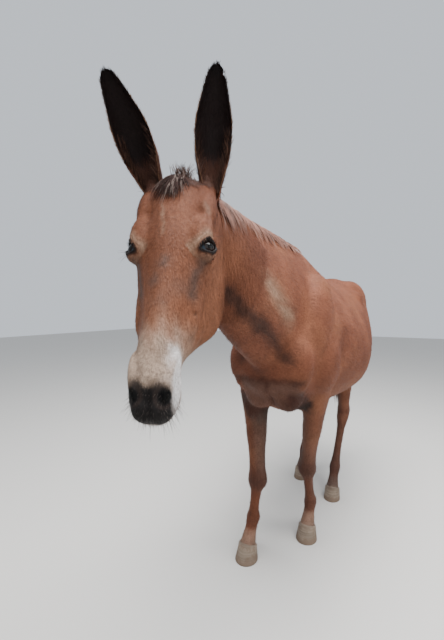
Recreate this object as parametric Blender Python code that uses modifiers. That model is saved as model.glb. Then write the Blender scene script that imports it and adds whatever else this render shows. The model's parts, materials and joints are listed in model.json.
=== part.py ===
"""A life-size mule that has stopped in mid stride, neck stretched out and head turned to its left.

Metres, +Z up, the animal facing -Y with its left side at +X. One smooth skin is fused from lofts and
muscle masses, then parted by thin plane cuts into the nodes that a person would name.
"""

import math

import bmesh
import bpy
import numpy as np
from mathutils import Matrix, Vector
from mathutils.bvhtree import BVHTree

# Driving sizes
WITHERS = 1.515
HEAD_LENGTH = 0.585
EAR_LENGTH = 0.300
EYE_RADIUS = 0.0235
GAP = 0.0003

# Fineness of the fused skins and of the finished nodes
TRUNK_VOXEL = 0.012
BODY_VOXEL = 0.0055
HEAD_VOXEL = 0.0040
TRUNK_SMOOTHING = 14
BODY_SMOOTHING = 5
HEAD_SMOOTHING = 7

# Pose of the head: the poll is the top of the skull between the ears
POLL = Vector((-0.005, -1.240, 1.558))
HEAD_YAW = math.radians(21.5)
HEAD_DROP = math.radians(62)

# Pose of the feet: the middle of each sole, and how far the elbow or stifle has swung along Y
FEET = {
    "foreleg_right": {"side": -1, "sole": (-0.180, -0.45), "swing": -0.01},
    "foreleg_left": {"side": 1, "sole": (0.035, -0.16), "swing": 0.13},
    "hindleg_left": {"side": 1, "sole": (0.070, 0.31), "swing": -0.06},
    "hindleg_right": {"side": -1, "sole": (-0.185, 0.49), "swing": 0.0},
}

# Colours: red coat, dark horn, hair, ears and eyes
COAT = (0.36, 0.125, 0.055)
HORN = (0.27, 0.22, 0.17)
HAIR = (0.17, 0.075, 0.05)
EAR = (0.25, 0.10, 0.055)
EYE = (0.012, 0.008, 0.007)


def clear_scene():
    """Leaves an empty scene."""
    for obj in list(bpy.data.objects):
        bpy.data.objects.remove(obj)


def collection(name):
    """A new collection in the scene."""
    made = bpy.data.collections.new(name)
    bpy.context.scene.collection.children.link(made)
    return made


def catmull(rows, per_span, closed=False):
    """Rows of numbers carried along a smooth curve through every row."""
    rows = np.array(rows, float)
    count = len(rows)
    spans = count if closed else count - 1
    out = []
    for i in range(spans):
        a, b = rows[i], rows[(i + 1) % count]
        before = rows[i - 1] if closed or i else 2 * a - b
        after = rows[(i + 2) % count] if closed or i + 2 < count else 2 * b - a
        for k in range(per_span):
            t = k / per_span
            out.append(
                0.5
                * (
                    2 * a
                    + (b - before) * t
                    + (2 * before - 5 * a + 4 * b - after) * t**2
                    + (3 * a - before - 3 * b + after) * t**3
                )
            )
    if not closed:
        out.append(rows[-1])
    return np.array(out)


# Heights, as shares of a section's depth from its top, at which its three widths are given
HIGH, MIDDLE, LOW = 0.14, 0.46, 0.82


def outline(top, bottom, high, middle, low, per_span=4):
    """A closed section: (across, up) pairs through the top, three widths a side and the bottom."""
    depth = top - bottom
    left = [(high, top - HIGH * depth), (middle, top - MIDDLE * depth), (low, top - LOW * depth)]
    corners = [(0, top), *left, (0, bottom), *[(-x, z) for x, z in reversed(left)]]
    return catmull(corners, per_span, closed=True)


def mesh_object(name, points, faces, home):
    """A mesh object from points and faces."""
    mesh = bpy.data.meshes.new(name)
    mesh.from_pydata([tuple(p) for p in points], [], faces)
    made = bpy.data.objects.new(name, mesh)
    home.objects.link(made)
    return made


def loft(name, rings, home):
    """A closed body over rings that hold the same number of points, with a fan at each end."""
    count = len(rings[0])
    points = [Vector(p) for ring in rings for p in ring]
    faces = []
    for i in range(len(rings) - 1):
        for j in range(count):
            k = (j + 1) % count
            a, b = i * count, (i + 1) * count
            faces.append((a + j, b + j, b + k, a + k))
    for first, flip in ((0, True), ((len(rings) - 1) * count, False)):
        middle = sum((points[first + j] for j in range(count)), Vector()) / count
        points.append(middle)
        tip = len(points) - 1
        for j in range(count):
            k = (j + 1) % count
            corner = (first + k, first + j) if flip else (first + j, first + k)
            faces.append((*corner, tip))
    made = mesh_object(name, points, faces, home)
    face_out(made.data)
    return made


def face_out(mesh):
    """Turns every face of a closed mesh outwards."""
    shape = bmesh.new()
    shape.from_mesh(mesh)
    bmesh.ops.recalc_face_normals(shape, faces=shape.faces[:])
    shape.to_mesh(mesh)
    shape.free()


def ball(name, centre, radii, home, turn=None, segments=16):
    """An ellipsoid, turned by a matrix where its axes aren't the frame's."""
    shape = bmesh.new()
    bmesh.ops.create_uvsphere(shape, u_segments=segments, v_segments=segments // 2, radius=1)
    place = Matrix.Translation(centre) @ (turn or Matrix.Identity(4)) @ Matrix.Diagonal((*radii, 1))
    bmesh.ops.transform(shape, matrix=place, verts=shape.verts[:])
    mesh = bpy.data.meshes.new(name)
    shape.to_mesh(mesh)
    shape.free()
    made = bpy.data.objects.new(name, mesh)
    home.objects.link(made)
    return made


def tube(rows, across, per_span=4, sides=20):
    """Rings along a path of rows (x, y, z, half width, half depth): across is the width's direction."""
    rows = catmull(rows, per_span)
    centres = [Vector(r[:3]) for r in rows]
    rings = []
    for i, row in enumerate(rows):
        ahead = (centres[min(i + 1, len(rows) - 1)] - centres[max(i - 1, 0)]).normalized()
        side = (across - ahead * across.dot(ahead)).normalized()
        deep = ahead.cross(side)
        turns = [2 * math.pi * j / sides for j in range(sides)]
        rings.append(
            [centres[i] + side * row[3] * math.cos(a) + deep * row[4] * math.sin(a) for a in turns]
        )
    return rings


def evaluated(obj, home):
    """The object with its modifiers applied, as a new plain mesh object in its place."""
    bpy.context.view_layer.update()
    graph = bpy.context.evaluated_depsgraph_get()
    mesh = bpy.data.meshes.new_from_object(obj.evaluated_get(graph))
    name = obj.name
    bpy.data.objects.remove(obj)
    made = bpy.data.objects.new(name, mesh)
    home.objects.link(made)
    return made


def joined(name, objects, home):
    """One mesh object that holds all of these, which are removed."""
    shape = bmesh.new()
    for obj in objects:
        shape.from_mesh(obj.data)
        bpy.data.objects.remove(obj)
    mesh = bpy.data.meshes.new(name)
    shape.to_mesh(mesh)
    shape.free()
    made = bpy.data.objects.new(name, mesh)
    home.objects.link(made)
    return made


def fused(name, objects, voxel, smoothing, home):
    """One skin round every mass: voxels melt them together and smoothing rounds their joins."""
    whole = joined(name, objects, home)
    remesh = whole.modifiers.new("melt", "REMESH")
    remesh.mode = "VOXEL"
    remesh.voxel_size = voxel
    smooth = whole.modifiers.new("round", "SMOOTH")
    smooth.factor = 0.5
    smooth.iterations = smoothing
    return evaluated(whole, home)


# Trunk, from the breast at -Y to the buttocks
TRUNK = [
    # y, back, belly, half widths high, middle and low
    (-0.700, 1.08, 0.925, 0.050, 0.075, 0.055),
    (-0.68, 1.14, 0.885, 0.075, 0.118, 0.088),
    (-0.61, 1.25, 0.830, 0.095, 0.155, 0.112),
    (-0.51, 1.36, 0.775, 0.098, 0.190, 0.138),
    (-0.38, 1.485, 0.735, 0.085, 0.220, 0.172),
    (-0.26, WITHERS, 0.725, 0.080, 0.232, 0.180),
    (-0.12, 1.475, 0.704, 0.110, 0.258, 0.215),
    (0.08, 1.405, 0.690, 0.165, 0.290, 0.250),
    (0.24, 1.395, 0.696, 0.185, 0.300, 0.255),
    (0.40, 1.415, 0.750, 0.182, 0.282, 0.225),
    (0.54, 1.438, 0.855, 0.165, 0.250, 0.180),
    (0.66, 1.420, 0.950, 0.145, 0.228, 0.165),
    (0.77, 1.355, 1.020, 0.115, 0.190, 0.140),
    (0.85, 1.280, 1.070, 0.080, 0.130, 0.100),
    (0.885, 1.215, 1.100, 0.045, 0.070, 0.055),
]

# Muscle masses on both sides: name, centre on the left, radii, tilt in degrees about X
MUSCLES = [
    ("shoulder_blade", (0.128, -0.42, 1.16), (0.088, 0.14, 0.24), -25),
    ("shoulder_point", (0.106, -0.606, 0.995), (0.078, 0.074, 0.125), 0),
    ("triceps", (0.155, -0.37, 0.99), (0.084, 0.150, 0.160), 25),
    ("breast", (0.064, -0.560, 0.866), (0.068, 0.076, 0.082), 10),
    ("croup", (0.112, 0.58, 1.26), (0.120, 0.22, 0.160), 0),
    ("hip_point", (0.180, 0.40, 1.27), (0.055, 0.075, 0.070), 0),
    ("thigh", (0.145, 0.62, 1.08), (0.098, 0.215, 0.210), -8),
    ("buttock", (0.110, 0.745, 1.13), (0.085, 0.105, 0.185), 8),
]


def trunk_masses(home):
    """The barrel of the body and the muscles that lie on it."""
    rings = [
        [(x, row[0], z) for x, z in outline(*row[1:])] for row in catmull(TRUNK, 3)
    ]
    made = [loft("trunk", rings, home)]
    for name, centre, radii, tilt in MUSCLES:
        turn = Matrix.Rotation(math.radians(tilt), 4, "X")
        for side in (1, -1):
            place = Vector((centre[0] * side, centre[1], centre[2]))
            made.append(ball(name, place, radii, home, turn))
    return made


# The head's own frame: S to its left, A from the poll down the face, N out of the forehead
LEFTWARD = Vector((math.cos(HEAD_YAW), math.sin(HEAD_YAW), 0))
ONWARD = Vector((math.sin(HEAD_YAW), -math.cos(HEAD_YAW), 0))
FACE_DOWN = ONWARD * math.cos(HEAD_DROP) + Vector((0, 0, -math.sin(HEAD_DROP)))
FACE_OUT = ONWARD * math.sin(HEAD_DROP) + Vector((0, 0, math.cos(HEAD_DROP)))
HEAD_FRAME = Matrix((LEFTWARD, FACE_DOWN, FACE_OUT)).transposed().to_4x4()
HEAD_FRAME.translation = POLL


def on_head(across, along, out):
    """A point of the head's own frame, in the model's frame. along is a share of the head's length."""
    return POLL + LEFTWARD * across + FACE_DOWN * along * HEAD_LENGTH + FACE_OUT * out


# Neck: crest and throat lines with the half width between them
NECK = [
    # crest x, y, z, throat x, y, z, half width
    (0.000, -0.16, 1.465, 0.000, -0.52, 0.80, 0.150),
    (0.000, -0.30, 1.508, 0.000, -0.575, 0.880, 0.148),
    (0.003, -0.50, 1.518, 0.003, -0.700, 0.968, 0.126),
    (0.010, -0.72, 1.520, 0.008, -0.885, 1.066, 0.104),
    (0.015, -0.94, 1.525, 0.008, -1.020, 1.155, 0.090),
    (0.008, -1.12, 1.545, -0.010, -1.095, 1.235, 0.080),
    (-0.003, -1.22, 1.545, -0.030, -1.150, 1.290, 0.072),
]


def neck_mass(home):
    """The neck, between its crest and the line of the throat."""
    rings = []
    for row in catmull(NECK, 4):
        crest, throat, width = Vector(row[:3]), Vector(row[3:6]), row[6]
        up = crest - throat
        share_across = Vector((1, 0, 0))
        if crest.y < NECK[3][1]:
            blend = min(1.0, (NECK[3][1] - crest.y) / (NECK[3][1] - NECK[-1][1]))
            share_across = Vector((1, 0, 0)).lerp(LEFTWARD, blend).normalized()
        side = (share_across - up * share_across.dot(up) / up.length_squared).normalized()
        shape = outline(up.length, 0, 0.55 * width, width, 0.80 * width)
        rings.append([throat + up.normalized() * z + side * x for x, z in shape])
    return loft("neck", rings, home)


# Head, from behind the poll to the lips: share of its length, face line, jaw line, half widths
SKULL = [
    (-0.06, -0.050, -0.150, 0.038, 0.058, 0.052),
    (0.00, -0.004, -0.215, 0.060, 0.083, 0.074),
    (0.10, 0.006, -0.262, 0.086, 0.106, 0.090),
    (0.20, 0.010, -0.298, 0.090, 0.106, 0.097),
    (0.33, 0.010, -0.318, 0.085, 0.104, 0.101),
    (0.44, 0.004, -0.324, 0.072, 0.101, 0.101),
    (0.56, -0.004, -0.302, 0.053, 0.090, 0.088),
    (0.68, -0.010, -0.222, 0.040, 0.064, 0.055),
    (0.79, -0.016, -0.148, 0.037, 0.050, 0.038),
    (0.88, -0.024, -0.134, 0.042, 0.055, 0.042),
    (0.95, -0.040, -0.128, 0.039, 0.051, 0.041),
    (1.00, -0.060, -0.116, 0.027, 0.039, 0.031),
    (1.02, -0.074, -0.108, 0.014, 0.021, 0.016),
]

# Places on the head: across, share of its length, out of the face
EYE_PLACE = (0.0815, 0.350, -0.042)
NOSTRIL_PLACE = (0.0500, 0.940)

# Masses on both sides of the head: name, place, radii across, along and out, turn about A
FEATURES = [
    ("brow", (0.069, 0.285, -0.026), (0.034, 0.066, 0.026), 0),
    ("temple", (0.074, 0.140, -0.042), (0.030, 0.075, 0.036), 0),
    ("orbit", EYE_PLACE, (0.0300, 0.0340, 0.0315), 0),
    ("cheek", (0.060, 0.340, -0.175), (0.046, 0.120, 0.100), 0),
    ("face_crest", (0.064, 0.480, -0.092), (0.020, 0.125, 0.018), 0),
    ("nostril_rim", (0.036, 0.870, -0.056), (0.018, 0.058, 0.028), 10),
    ("ear_root", (0.068, 0.030, -0.058), (0.030, 0.046, 0.042), 0),
    ("upper_lip", (0.013, 0.962, -0.074), (0.031, 0.036, 0.033), 0),
]
CHIN = (0.004, 0.905, -0.134)
CHIN_RADII = (0.041, 0.050, 0.027)


# The eye looks this way in the head's frame, and its corners lie this far from level
EYE_LOOKS = (0.68, 0.00, 0.73)
EYE_SLANT = math.radians(30)
EYE_OPENING = (0.0228, 0.0160)
MOUTH_CORNER = 0.80
LIP_LINE = -0.102
LIP_GAP = 0.0024


def eye_axes(side):
    """Centre of an eyeball, the way it looks, and the long and short axes between its lids."""
    centre = on_head(EYE_PLACE[0] * side, EYE_PLACE[1], EYE_PLACE[2])
    looks = LEFTWARD * EYE_LOOKS[0] * side + FACE_DOWN * EYE_LOOKS[1] + FACE_OUT * EYE_LOOKS[2]
    looks.normalize()
    inward = (FACE_OUT - looks * FACE_OUT.dot(looks)).normalized()
    long = inward * math.cos(EYE_SLANT) + FACE_DOWN * math.sin(EYE_SLANT)
    long = (long - looks * long.dot(looks)).normalized()
    return centre, looks, long, looks.cross(long)


def eyeball(name, side, radius, home):
    """A ball about the eye's centre. Eye and socket share its facets, so that they nest."""
    centre, looks, long, short = eye_axes(side)
    turn = Matrix((long, short, looks)).transposed().to_4x4()
    return ball(name, centre, (radius,) * 3, home, turn)


def eye_cutters(side, home):
    """The socket round an eyeball and the almond opening between its lids."""
    centre, looks, long, short = eye_axes(side)
    socket = eyeball("socket", side, EYE_RADIUS + GAP, home)
    rings = []
    for reach, grow in ((0.0, 1.0), (0.060, 1.15)):
        ring = []
        for i in range(24):
            a = 2 * math.pi * i / 24
            u, v = math.cos(a), math.sin(a)
            lid = v * (1 - 0.22 * abs(u)) * EYE_OPENING[1] * grow
            ring.append(centre + looks * reach + long * u * EYE_OPENING[0] * grow + short * lid)
        rings.append(ring)
    return [socket, loft("lids", rings, home)]


NOSTRIL_RADII = (0.0078, 0.0210, 0.0180)


def face_cutters(head, home):
    """Everything that is cut out of the head: sockets, nostrils and the line of the mouth."""
    made = []
    skin = surface(head)
    turn = HEAD_FRAME.to_3x3().to_4x4()
    for side in (1, -1):
        made += eye_cutters(side, home)
        lean = Matrix.Rotation(math.radians(-14 * side), 4, "Z")
        roll = Matrix.Rotation(math.radians(38 * side), 4, "Y")
        aim = on_head(0.0, NOSTRIL_PLACE[1], -0.085)
        outside = on_head(NOSTRIL_PLACE[0] * side * 2.2, NOSTRIL_PLACE[1], 0.045)
        where = skin.ray_cast(outside, (aim - outside).normalized())[0]
        made.append(ball("nostril", where, NOSTRIL_RADII, home, turn @ lean @ roll, 16))
    rings = []
    for share in (MOUTH_CORNER, 1.10):
        ring = []
        for x, out in ((-0.09, 0), (0.09, 0), (0.09, LIP_GAP), (-0.09, LIP_GAP)):
            ring.append(on_head(x, share, LIP_LINE + out))
        rings.append(ring)
    made.append(loft("lips", rings, home))
    return made


def surface(obj):
    """A search tree over the object's faces."""
    mesh = obj.data
    return BVHTree.FromPolygons([v.co[:] for v in mesh.vertices], [p.vertices[:] for p in mesh.polygons])


def cut(obj, cutters, operation, home, solver="EXACT"):
    """The object with the cutters taken away or added, as a plain mesh; the cutters are removed."""
    group = bpy.data.collections.new("tools")
    for tool in cutters:
        group.objects.link(tool)
    step = obj.modifiers.new("cut", "BOOLEAN")
    step.operation = operation
    step.operand_type = "COLLECTION"
    step.collection = group
    step.solver = solver
    made = evaluated(obj, home)
    for tool in cutters:
        bpy.data.objects.remove(tool)
    bpy.data.collections.remove(group)
    return single(made)


def single(obj):
    """Keeps only the object's largest closed surface."""
    shape = bmesh.new()
    shape.from_mesh(obj.data)
    bmesh.ops.triangulate(shape, faces=shape.faces[:])
    keep_largest(shape)
    shape.to_mesh(obj.data)
    shape.free()
    return obj


# Ears: share of the length, half width, how far the cup wraps round, in degrees each way
EAR_CUP = [
    (0.00, 0.025, 140),
    (0.12, 0.030, 130),
    (0.25, 0.038, 113),
    (0.38, 0.0450, 100),
    (0.52, 0.0480, 92),
    (0.66, 0.0440, 88),
    (0.79, 0.0345, 85),
    (0.90, 0.0255, 82),
    (0.965, 0.0180, 80),
    (0.99, 0.0110, 79),
    (1.00, 0.0060, 78),
]
EARS = {
    # side: root on the head, the way the ear points and the way its cup opens
    1: ((0.080, 0.030, -0.050), (0.052, -0.012, 1.0), (0.62, -0.78, 0.0)),
    -1: ((0.066, 0.030, -0.050), (-0.225, -0.355, 1.0), (0.30, -0.95, 0.0)),
}
EAR_WALL = 0.0055
EAR_SUNK = 0.020


def ear(name, side, home):
    """An ear: a leaf-shaped cup whose wall is open towards the front."""
    root, points, opens = EARS[side]
    axis = Vector(points).normalized()
    front = Vector(opens)
    front = (front - axis * front.dot(axis)).normalized()
    across = axis.cross(front)
    base = on_head(root[0] * side, root[1], root[2]) - axis * EAR_SUNK
    rings = []
    for share, half, wrap in EAR_CUP:
        middle = base + axis * (share * (EAR_LENGTH + EAR_SUNK)) + front * 0.035 * share**2
        steps = [math.radians(wrap) * (k / 5 - 1) for k in range(11)]
        squash = 0.75
        outer = [
            middle + across * half * math.sin(a) - front * half * squash * math.cos(a) for a in steps
        ]
        inside = max(half - EAR_WALL, 0.35 * half)
        inner = [
            middle + across * inside * math.sin(a) - front * inside * squash * math.cos(a)
            for a in reversed(steps)
        ]
        rings.append(outer + inner)
    return loft(name, rings, home)


def grown(obj, name, amount, home):
    """A copy of the object whose surface stands this far outside it."""
    shape = bmesh.new()
    shape.from_mesh(obj.data)
    shape.normal_update()
    for vert in shape.verts:
        vert.co += vert.normal * amount
    mesh = bpy.data.meshes.new(name)
    shape.to_mesh(mesh)
    shape.free()
    made = bpy.data.objects.new(name, mesh)
    home.objects.link(made)
    return made


# Tail: the fleshy dock, as x, y, z of its middle, then half width and half depth
DOCK = [
    (0.000, 0.800, 1.285, 0.030, 0.030),
    (0.000, 0.870, 1.265, 0.031, 0.029),
    (0.000, 0.925, 1.190, 0.027, 0.025),
    (0.002, 0.945, 1.080, 0.024, 0.022),
    (0.004, 0.948, 0.960, 0.020, 0.018),
    (0.005, 0.948, 0.880, 0.008, 0.007),
]
TAIL_LOCKS = 19
TAIL_TIPS = (0.40, 0.62)
TAIL_WIDTH = 0.046
TAIL_SPREAD = 0.060


def tail_locks(home):
    """Long locks that hang from the dock, the lowest of them to below the hocks."""
    draw = wander(23)
    spine = catmull(DOCK, 6)
    made = []
    for i in range(TAIL_LOCKS):
        angle = i * 2.399963 + draw.uniform(-0.2, 0.2)
        t = (i + 0.5) / TAIL_LOCKS
        start = spine[int((0.36 + 0.55 * t) * (len(spine) - 1))]
        out = Vector((math.cos(angle), math.sin(angle), 0))
        if start[2] > 1.02 and out.y < -0.2:
            out.y = -out.y
        root = Vector(start[:3])
        tip = draw.uniform(*TAIL_TIPS)
        fan = TAIL_SPREAD * draw.uniform(0.35, 1.0)
        rows = []
        for share, wide in ((0, 0.6), (0.15, 0.9), (0.45, 1.0), (0.78, 0.7), (1, 0.10)):
            spread = 0.6 * start[3] + fan * math.sin(math.pi * min(0.80 * share + 0.10, 1.0))
            drop = root.z + (tip - root.z) * share
            middle = Vector((root.x, root.y, drop)) + out * spread * (1 if share else 0.2)
            middle.y = max(middle.y, 0.915)
            rows.append((middle, wide))
        path = [(point, out) for point, _ in rows]
        shape = [(k / 4, wide, 0.0) for k, (_, wide) in enumerate(rows)]
        made.append(lock("tail_lock", path, shape, TAIL_WIDTH * draw.uniform(0.8, 1.2), home))
    return made


def wander(seed):
    """A seeded source of small differences."""
    return np.random.default_rng(seed)


# Locks: flat, tapered tongues of hair. Share of the length, share of the width, rise off the skin
LOCK_SHAPE = [(0.0, 0.75, -0.010), (0.14, 0.95, 0.004), (0.42, 1.0, 0.008), (0.74, 0.72, 0.009)]
LOCK_TIP = (1.0, 0.12, 0.008)
LOCK_THICK = 0.0045


def lock(name, path, rises, width, home):
    """A tongue of hair along a path of (point, normal) pairs, lens-shaped across, sharp at its tip."""
    rings = []
    for i, (point, out) in enumerate(path):
        share, wide, rise = rises[i]
        ahead = (path[min(i + 1, len(path) - 1)][0] - path[max(i - 1, 0)][0]).normalized()
        out = (out - ahead * out.dot(ahead)).normalized()
        side = ahead.cross(out) * width * wide / 2
        middle = point + out * rise
        half = LOCK_THICK * (0.5 if share < 1 else 0.25)
        rings.append([middle + side, middle + out * half, middle - side, middle - out * half])
    return loft(name, rings, home)


def laid(skin, root, ahead, length, shares):
    """Points on the skin (with its normals) reached by combing from the root in one direction."""
    found, gone, place = [], 0.0, Vector(root)
    place, out, _, _ = skin.find_nearest(place)
    for share in shares:
        steps = max(1, round((share * length - gone) / 0.012))
        step = (share * length - gone) / steps
        for _ in range(steps if share else 0):
            along = (ahead - out * ahead.dot(out)).normalized()
            place, out, _, _ = skin.find_nearest(place + along * step)
        gone = share * length
        found.append((place.copy(), out.copy()))
    return found


MANE_LOCKS = 24
MANE_SPAN = (-1.115, -0.41)
MANE_LENGTH = (0.085, 0.150)
MANE_WIDTH = 0.034


def mane_locks(skin, home):
    """The mane falls to the animal's left from the crest of the neck."""
    draw = wander(11)
    rises = LOCK_SHAPE + [LOCK_TIP]
    made = []
    for i in range(MANE_LOCKS):
        t = (i + draw.uniform(-0.3, 0.3)) / (MANE_LOCKS - 1)
        y = MANE_SPAN[0] + (MANE_SPAN[1] - MANE_SPAN[0]) * min(1, max(0, t))
        crest = skin.ray_cast(Vector((draw.uniform(-0.008, 0.010), y, 2.0)), Vector((0, 0, -1)))[0]
        fade = 1 - 0.45 * t
        length = draw.uniform(*MANE_LENGTH) * fade
        comb = Vector((1.0, draw.uniform(0.10, 0.55), -0.9))
        path = laid(skin, crest, comb.normalized(), length, [r[0] for r in rises])
        lift = draw.uniform(0.0, 0.004)
        shape = [(a, b, c + lift * (a > 0)) for a, b, c in rises]
        made.append(lock("mane_lock", path, shape, MANE_WIDTH * draw.uniform(0.75, 1.15), home))
    return made


FORELOCK_LOCKS = 9
FORELOCK_LENGTH = (0.075, 0.115)
FORELOCK_WIDTH = 0.018


def forelock_locks(skin, home):
    """Short hair that falls from between the ears over the forehead."""
    draw = wander(5)
    rises = LOCK_SHAPE + [LOCK_TIP]
    made = []
    for i in range(FORELOCK_LOCKS):
        t = (i + 0.5) / FORELOCK_LOCKS * 2 - 1
        root = on_head(0.030 * t, draw.uniform(0.00, 0.045), 0.006)
        comb = FACE_DOWN + LEFTWARD * (0.45 * t + draw.uniform(-0.12, 0.12))
        length = draw.uniform(*FORELOCK_LENGTH)
        path = laid(skin, root, comb.normalized(), length, [r[0] for r in rises])
        lift = draw.uniform(0.002, 0.010)
        shape = [(a, b, c + lift * math.sin(math.pi * a)) for a, b, c in rises]
        made.append(lock("fore_lock", path, shape, FORELOCK_WIDTH * draw.uniform(0.8, 1.2), home))
    return made


def head_masses(home):
    """The skull's loft with the brows, cheeks, crests, nostrils, lips and chin."""
    rings = [
        [on_head(x, row[0], z) for x, z in outline(*row[1:])] for row in catmull(SKULL, 4)
    ]
    made = [loft("skull", rings, home)]
    turn = HEAD_FRAME.to_3x3().to_4x4()
    for name, place, radii, about in FEATURES:
        for side in (1, -1):
            spin = Matrix.Rotation(math.radians(about * side), 4, "Z")
            where = on_head(place[0] * side, place[1], place[2])
            made.append(ball(name, where, radii, home, turn @ spin))
    made.append(ball("chin", on_head(*CHIN), CHIN_RADII, home, turn))
    return made


# Foreleg: share of the way from one joint to the next, half width, half depth
FORELEG_UPPER = [
    (-0.30, 0.070, 0.115),
    (0.00, 0.068, 0.100),
    (0.22, 0.058, 0.080),
    (0.45, 0.049, 0.062),
    (0.70, 0.040, 0.048),
    (0.88, 0.0400, 0.0430),
    (1.00, 0.0480, 0.0480),
]
FORELEG_LOWER = [
    (0.12, 0.0440, 0.0430),
    (0.26, 0.0290, 0.0345),
    (0.50, 0.0245, 0.0315),
    (0.78, 0.0260, 0.0330),
    (0.95, 0.0335, 0.0395),
]
HINDLEG_UPPER = [
    (-0.45, 0.090, 0.190),
    (-0.15, 0.085, 0.155),
    (0.10, 0.075, 0.120),
    (0.35, 0.062, 0.085),
    (0.60, 0.048, 0.060),
    (0.85, 0.0380, 0.0500),
    (1.00, 0.0420, 0.0560),
]
HINDLEG_LOWER = [
    (0.14, 0.0380, 0.0480),
    (0.30, 0.0270, 0.0370),
    (0.55, 0.0240, 0.0320),
    (0.80, 0.0265, 0.0335),
    (0.96, 0.0340, 0.0400),
]
PASTERN = [(0.35, 0.0290, 0.0325), (0.75, 0.0340, 0.0385), (1.20, 0.0420, 0.0470)]

ELBOW = Vector((0.128, -0.455, 0.86))
KNEE_HEIGHT = 0.395
KNEE_AHEAD = 0.012
KNEE_IN = 0.026
STIFLE = Vector((0.128, 0.425, 0.93))
HOCK_REACH = 0.45
FETLOCK_RISE = 0.162
FETLOCK_BACK = 0.075
CORONET_RISE = 0.070
CORONET_BACK = 0.016
HOOF_TILT = math.radians(20)


def joints_of(name):
    """The joints of a leg, from the elbow or stifle down, as points."""
    leg = FEET[name]
    x, y = leg["sole"]
    fetlock = Vector((x, y + FETLOCK_BACK, FETLOCK_RISE))
    coronet = Vector((x, y + CORONET_BACK, CORONET_RISE))
    fore = name.startswith("fore")
    root = (ELBOW if fore else STIFLE).copy()
    root.x *= leg["side"]
    root.y += leg["swing"]
    if fore:
        share = (root.z - KNEE_HEIGHT) / (root.z - fetlock.z)
        middle = root.lerp(fetlock, share) - leg["side"] * KNEE_IN * Vector((1, 0, 0))
        middle.y -= KNEE_AHEAD
    else:
        # Two bones of fixed length meet at the hock, which bends backwards
        span = fetlock - root
        cannon = HOCK_REACH - 0.06
        along = (HOCK_REACH**2 - cannon**2 + span.length_squared) / (2 * span.length)
        off = math.sqrt(max(0.0, HOCK_REACH**2 - along**2))
        ahead = span.normalized()
        back = Vector((0, 1, 0))
        back = (back - ahead * back.dot(ahead)).normalized()
        middle = root + ahead * along + back * off
    return [root, middle, fetlock, coronet]


ROOT_SHRINK = 0.86


def leg_masses(name, home, whole=True):
    """One leg from the trunk to the coronet. Unless it is whole, its top is drawn in under the skin."""
    root, middle, fetlock, coronet = joints_of(name)
    fore = name.startswith("fore")
    upper, lower = (FORELEG_UPPER, FORELEG_LOWER) if fore else (HINDLEG_UPPER, HINDLEG_LOWER)
    rows = []
    for start, end, shares in ((root, middle, upper), (middle, fetlock, lower), (fetlock, coronet, PASTERN)):
        for share, width, depth in shares:
            rows.append((*(start + (end - start) * share), width, depth))
    if not whole:
        rows = [(*row[:3], row[3] * ROOT_SHRINK, row[4] * ROOT_SHRINK) for row in rows[1:3]] + rows[3:]
    across = Vector((1, 0, 0))
    made = [loft(name, tube(rows, across), home)]
    if fore:
        made.append(ball("knee", middle + Vector((0, -0.014, 0.004)), (0.040, 0.034, 0.046), home))
        made.append(ball("knee_back", middle + Vector((0, 0.034, 0.012)), (0.020, 0.020, 0.030), home))
    else:
        heel = middle + (root - middle).normalized() * 0.045 + Vector((0, 0.060, 0.010))
        made.append(ball("hock_point", heel, (0.022, 0.026, 0.036), home))
        string = [
            (*heel, 0.018, 0.022),
            (*(heel.lerp(root, 0.35) + Vector((0, 0.040, 0))), 0.020, 0.034),
            (*(root + Vector((-0.01 * FEET[name]["side"], 0.18, 0.03))), 0.050, 0.085),
        ]
        made.append(loft("hamstring", tube(string, across), home))
    made.append(ball("ergot", fetlock + Vector((0, 0.022, -0.006)), (0.026, 0.024, 0.028), home))
    return made


def hoof(name, home):
    """A hoof wall from the coronet's plane to its flat sole on the ground."""
    _, _, _, coronet = joints_of(name)
    x, y = FEET[name]["sole"]
    fore = name.startswith("fore")
    half_width, half_length = (0.0545, 0.0620) if fore else (0.0500, 0.0600)
    sides, levels = 24, 3
    tilt = Matrix.Rotation(-HOOF_TILT, 3, "X")
    rings = []
    for level in range(levels + 1):
        t = level / levels
        ring = []
        for j in range(sides):
            a = 2 * math.pi * j / sides
            across, back = math.cos(a), -math.sin(a)
            pinch = 1 - 0.10 * max(0.0, back) ** 2
            low = Vector((x + half_width * across * pinch, y + half_length * back, 0))
            high = coronet + tilt @ Vector((0.0435 * across, 0.0470 * back, 0)) - Vector((0, 0, GAP))
            ring.append(high.lerp(low, t) + Vector((0, 0, 0)))
        rings.append(ring)
    return loft("hoof_" + name.replace("leg", ""), rings, home)


def bisected(source, name, planes, home, spare=0.0):
    """A copy of the source behind every plane (point, normal out), each cut filled flat."""
    shape = bmesh.new()
    shape.from_mesh(source.data)
    for point, normal in planes:
        normal = Vector(normal).normalized()
        where = Vector(point) + normal * (spare - GAP / 2)
        parts = shape.verts[:] + shape.edges[:] + shape.faces[:]
        cut = bmesh.ops.bisect_plane(
            shape, geom=parts, plane_co=where, plane_no=normal, clear_outer=True, dist=1e-6
        )
        edges = [e for e in cut["geom_cut"] if isinstance(e, bmesh.types.BMEdge)]
        bmesh.ops.holes_fill(shape, edges=edges)
    keep_largest(shape)
    mesh = bpy.data.meshes.new(name)
    shape.to_mesh(mesh)
    shape.free()
    made = bpy.data.objects.new(name, mesh)
    home.objects.link(made)
    return made


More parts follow.
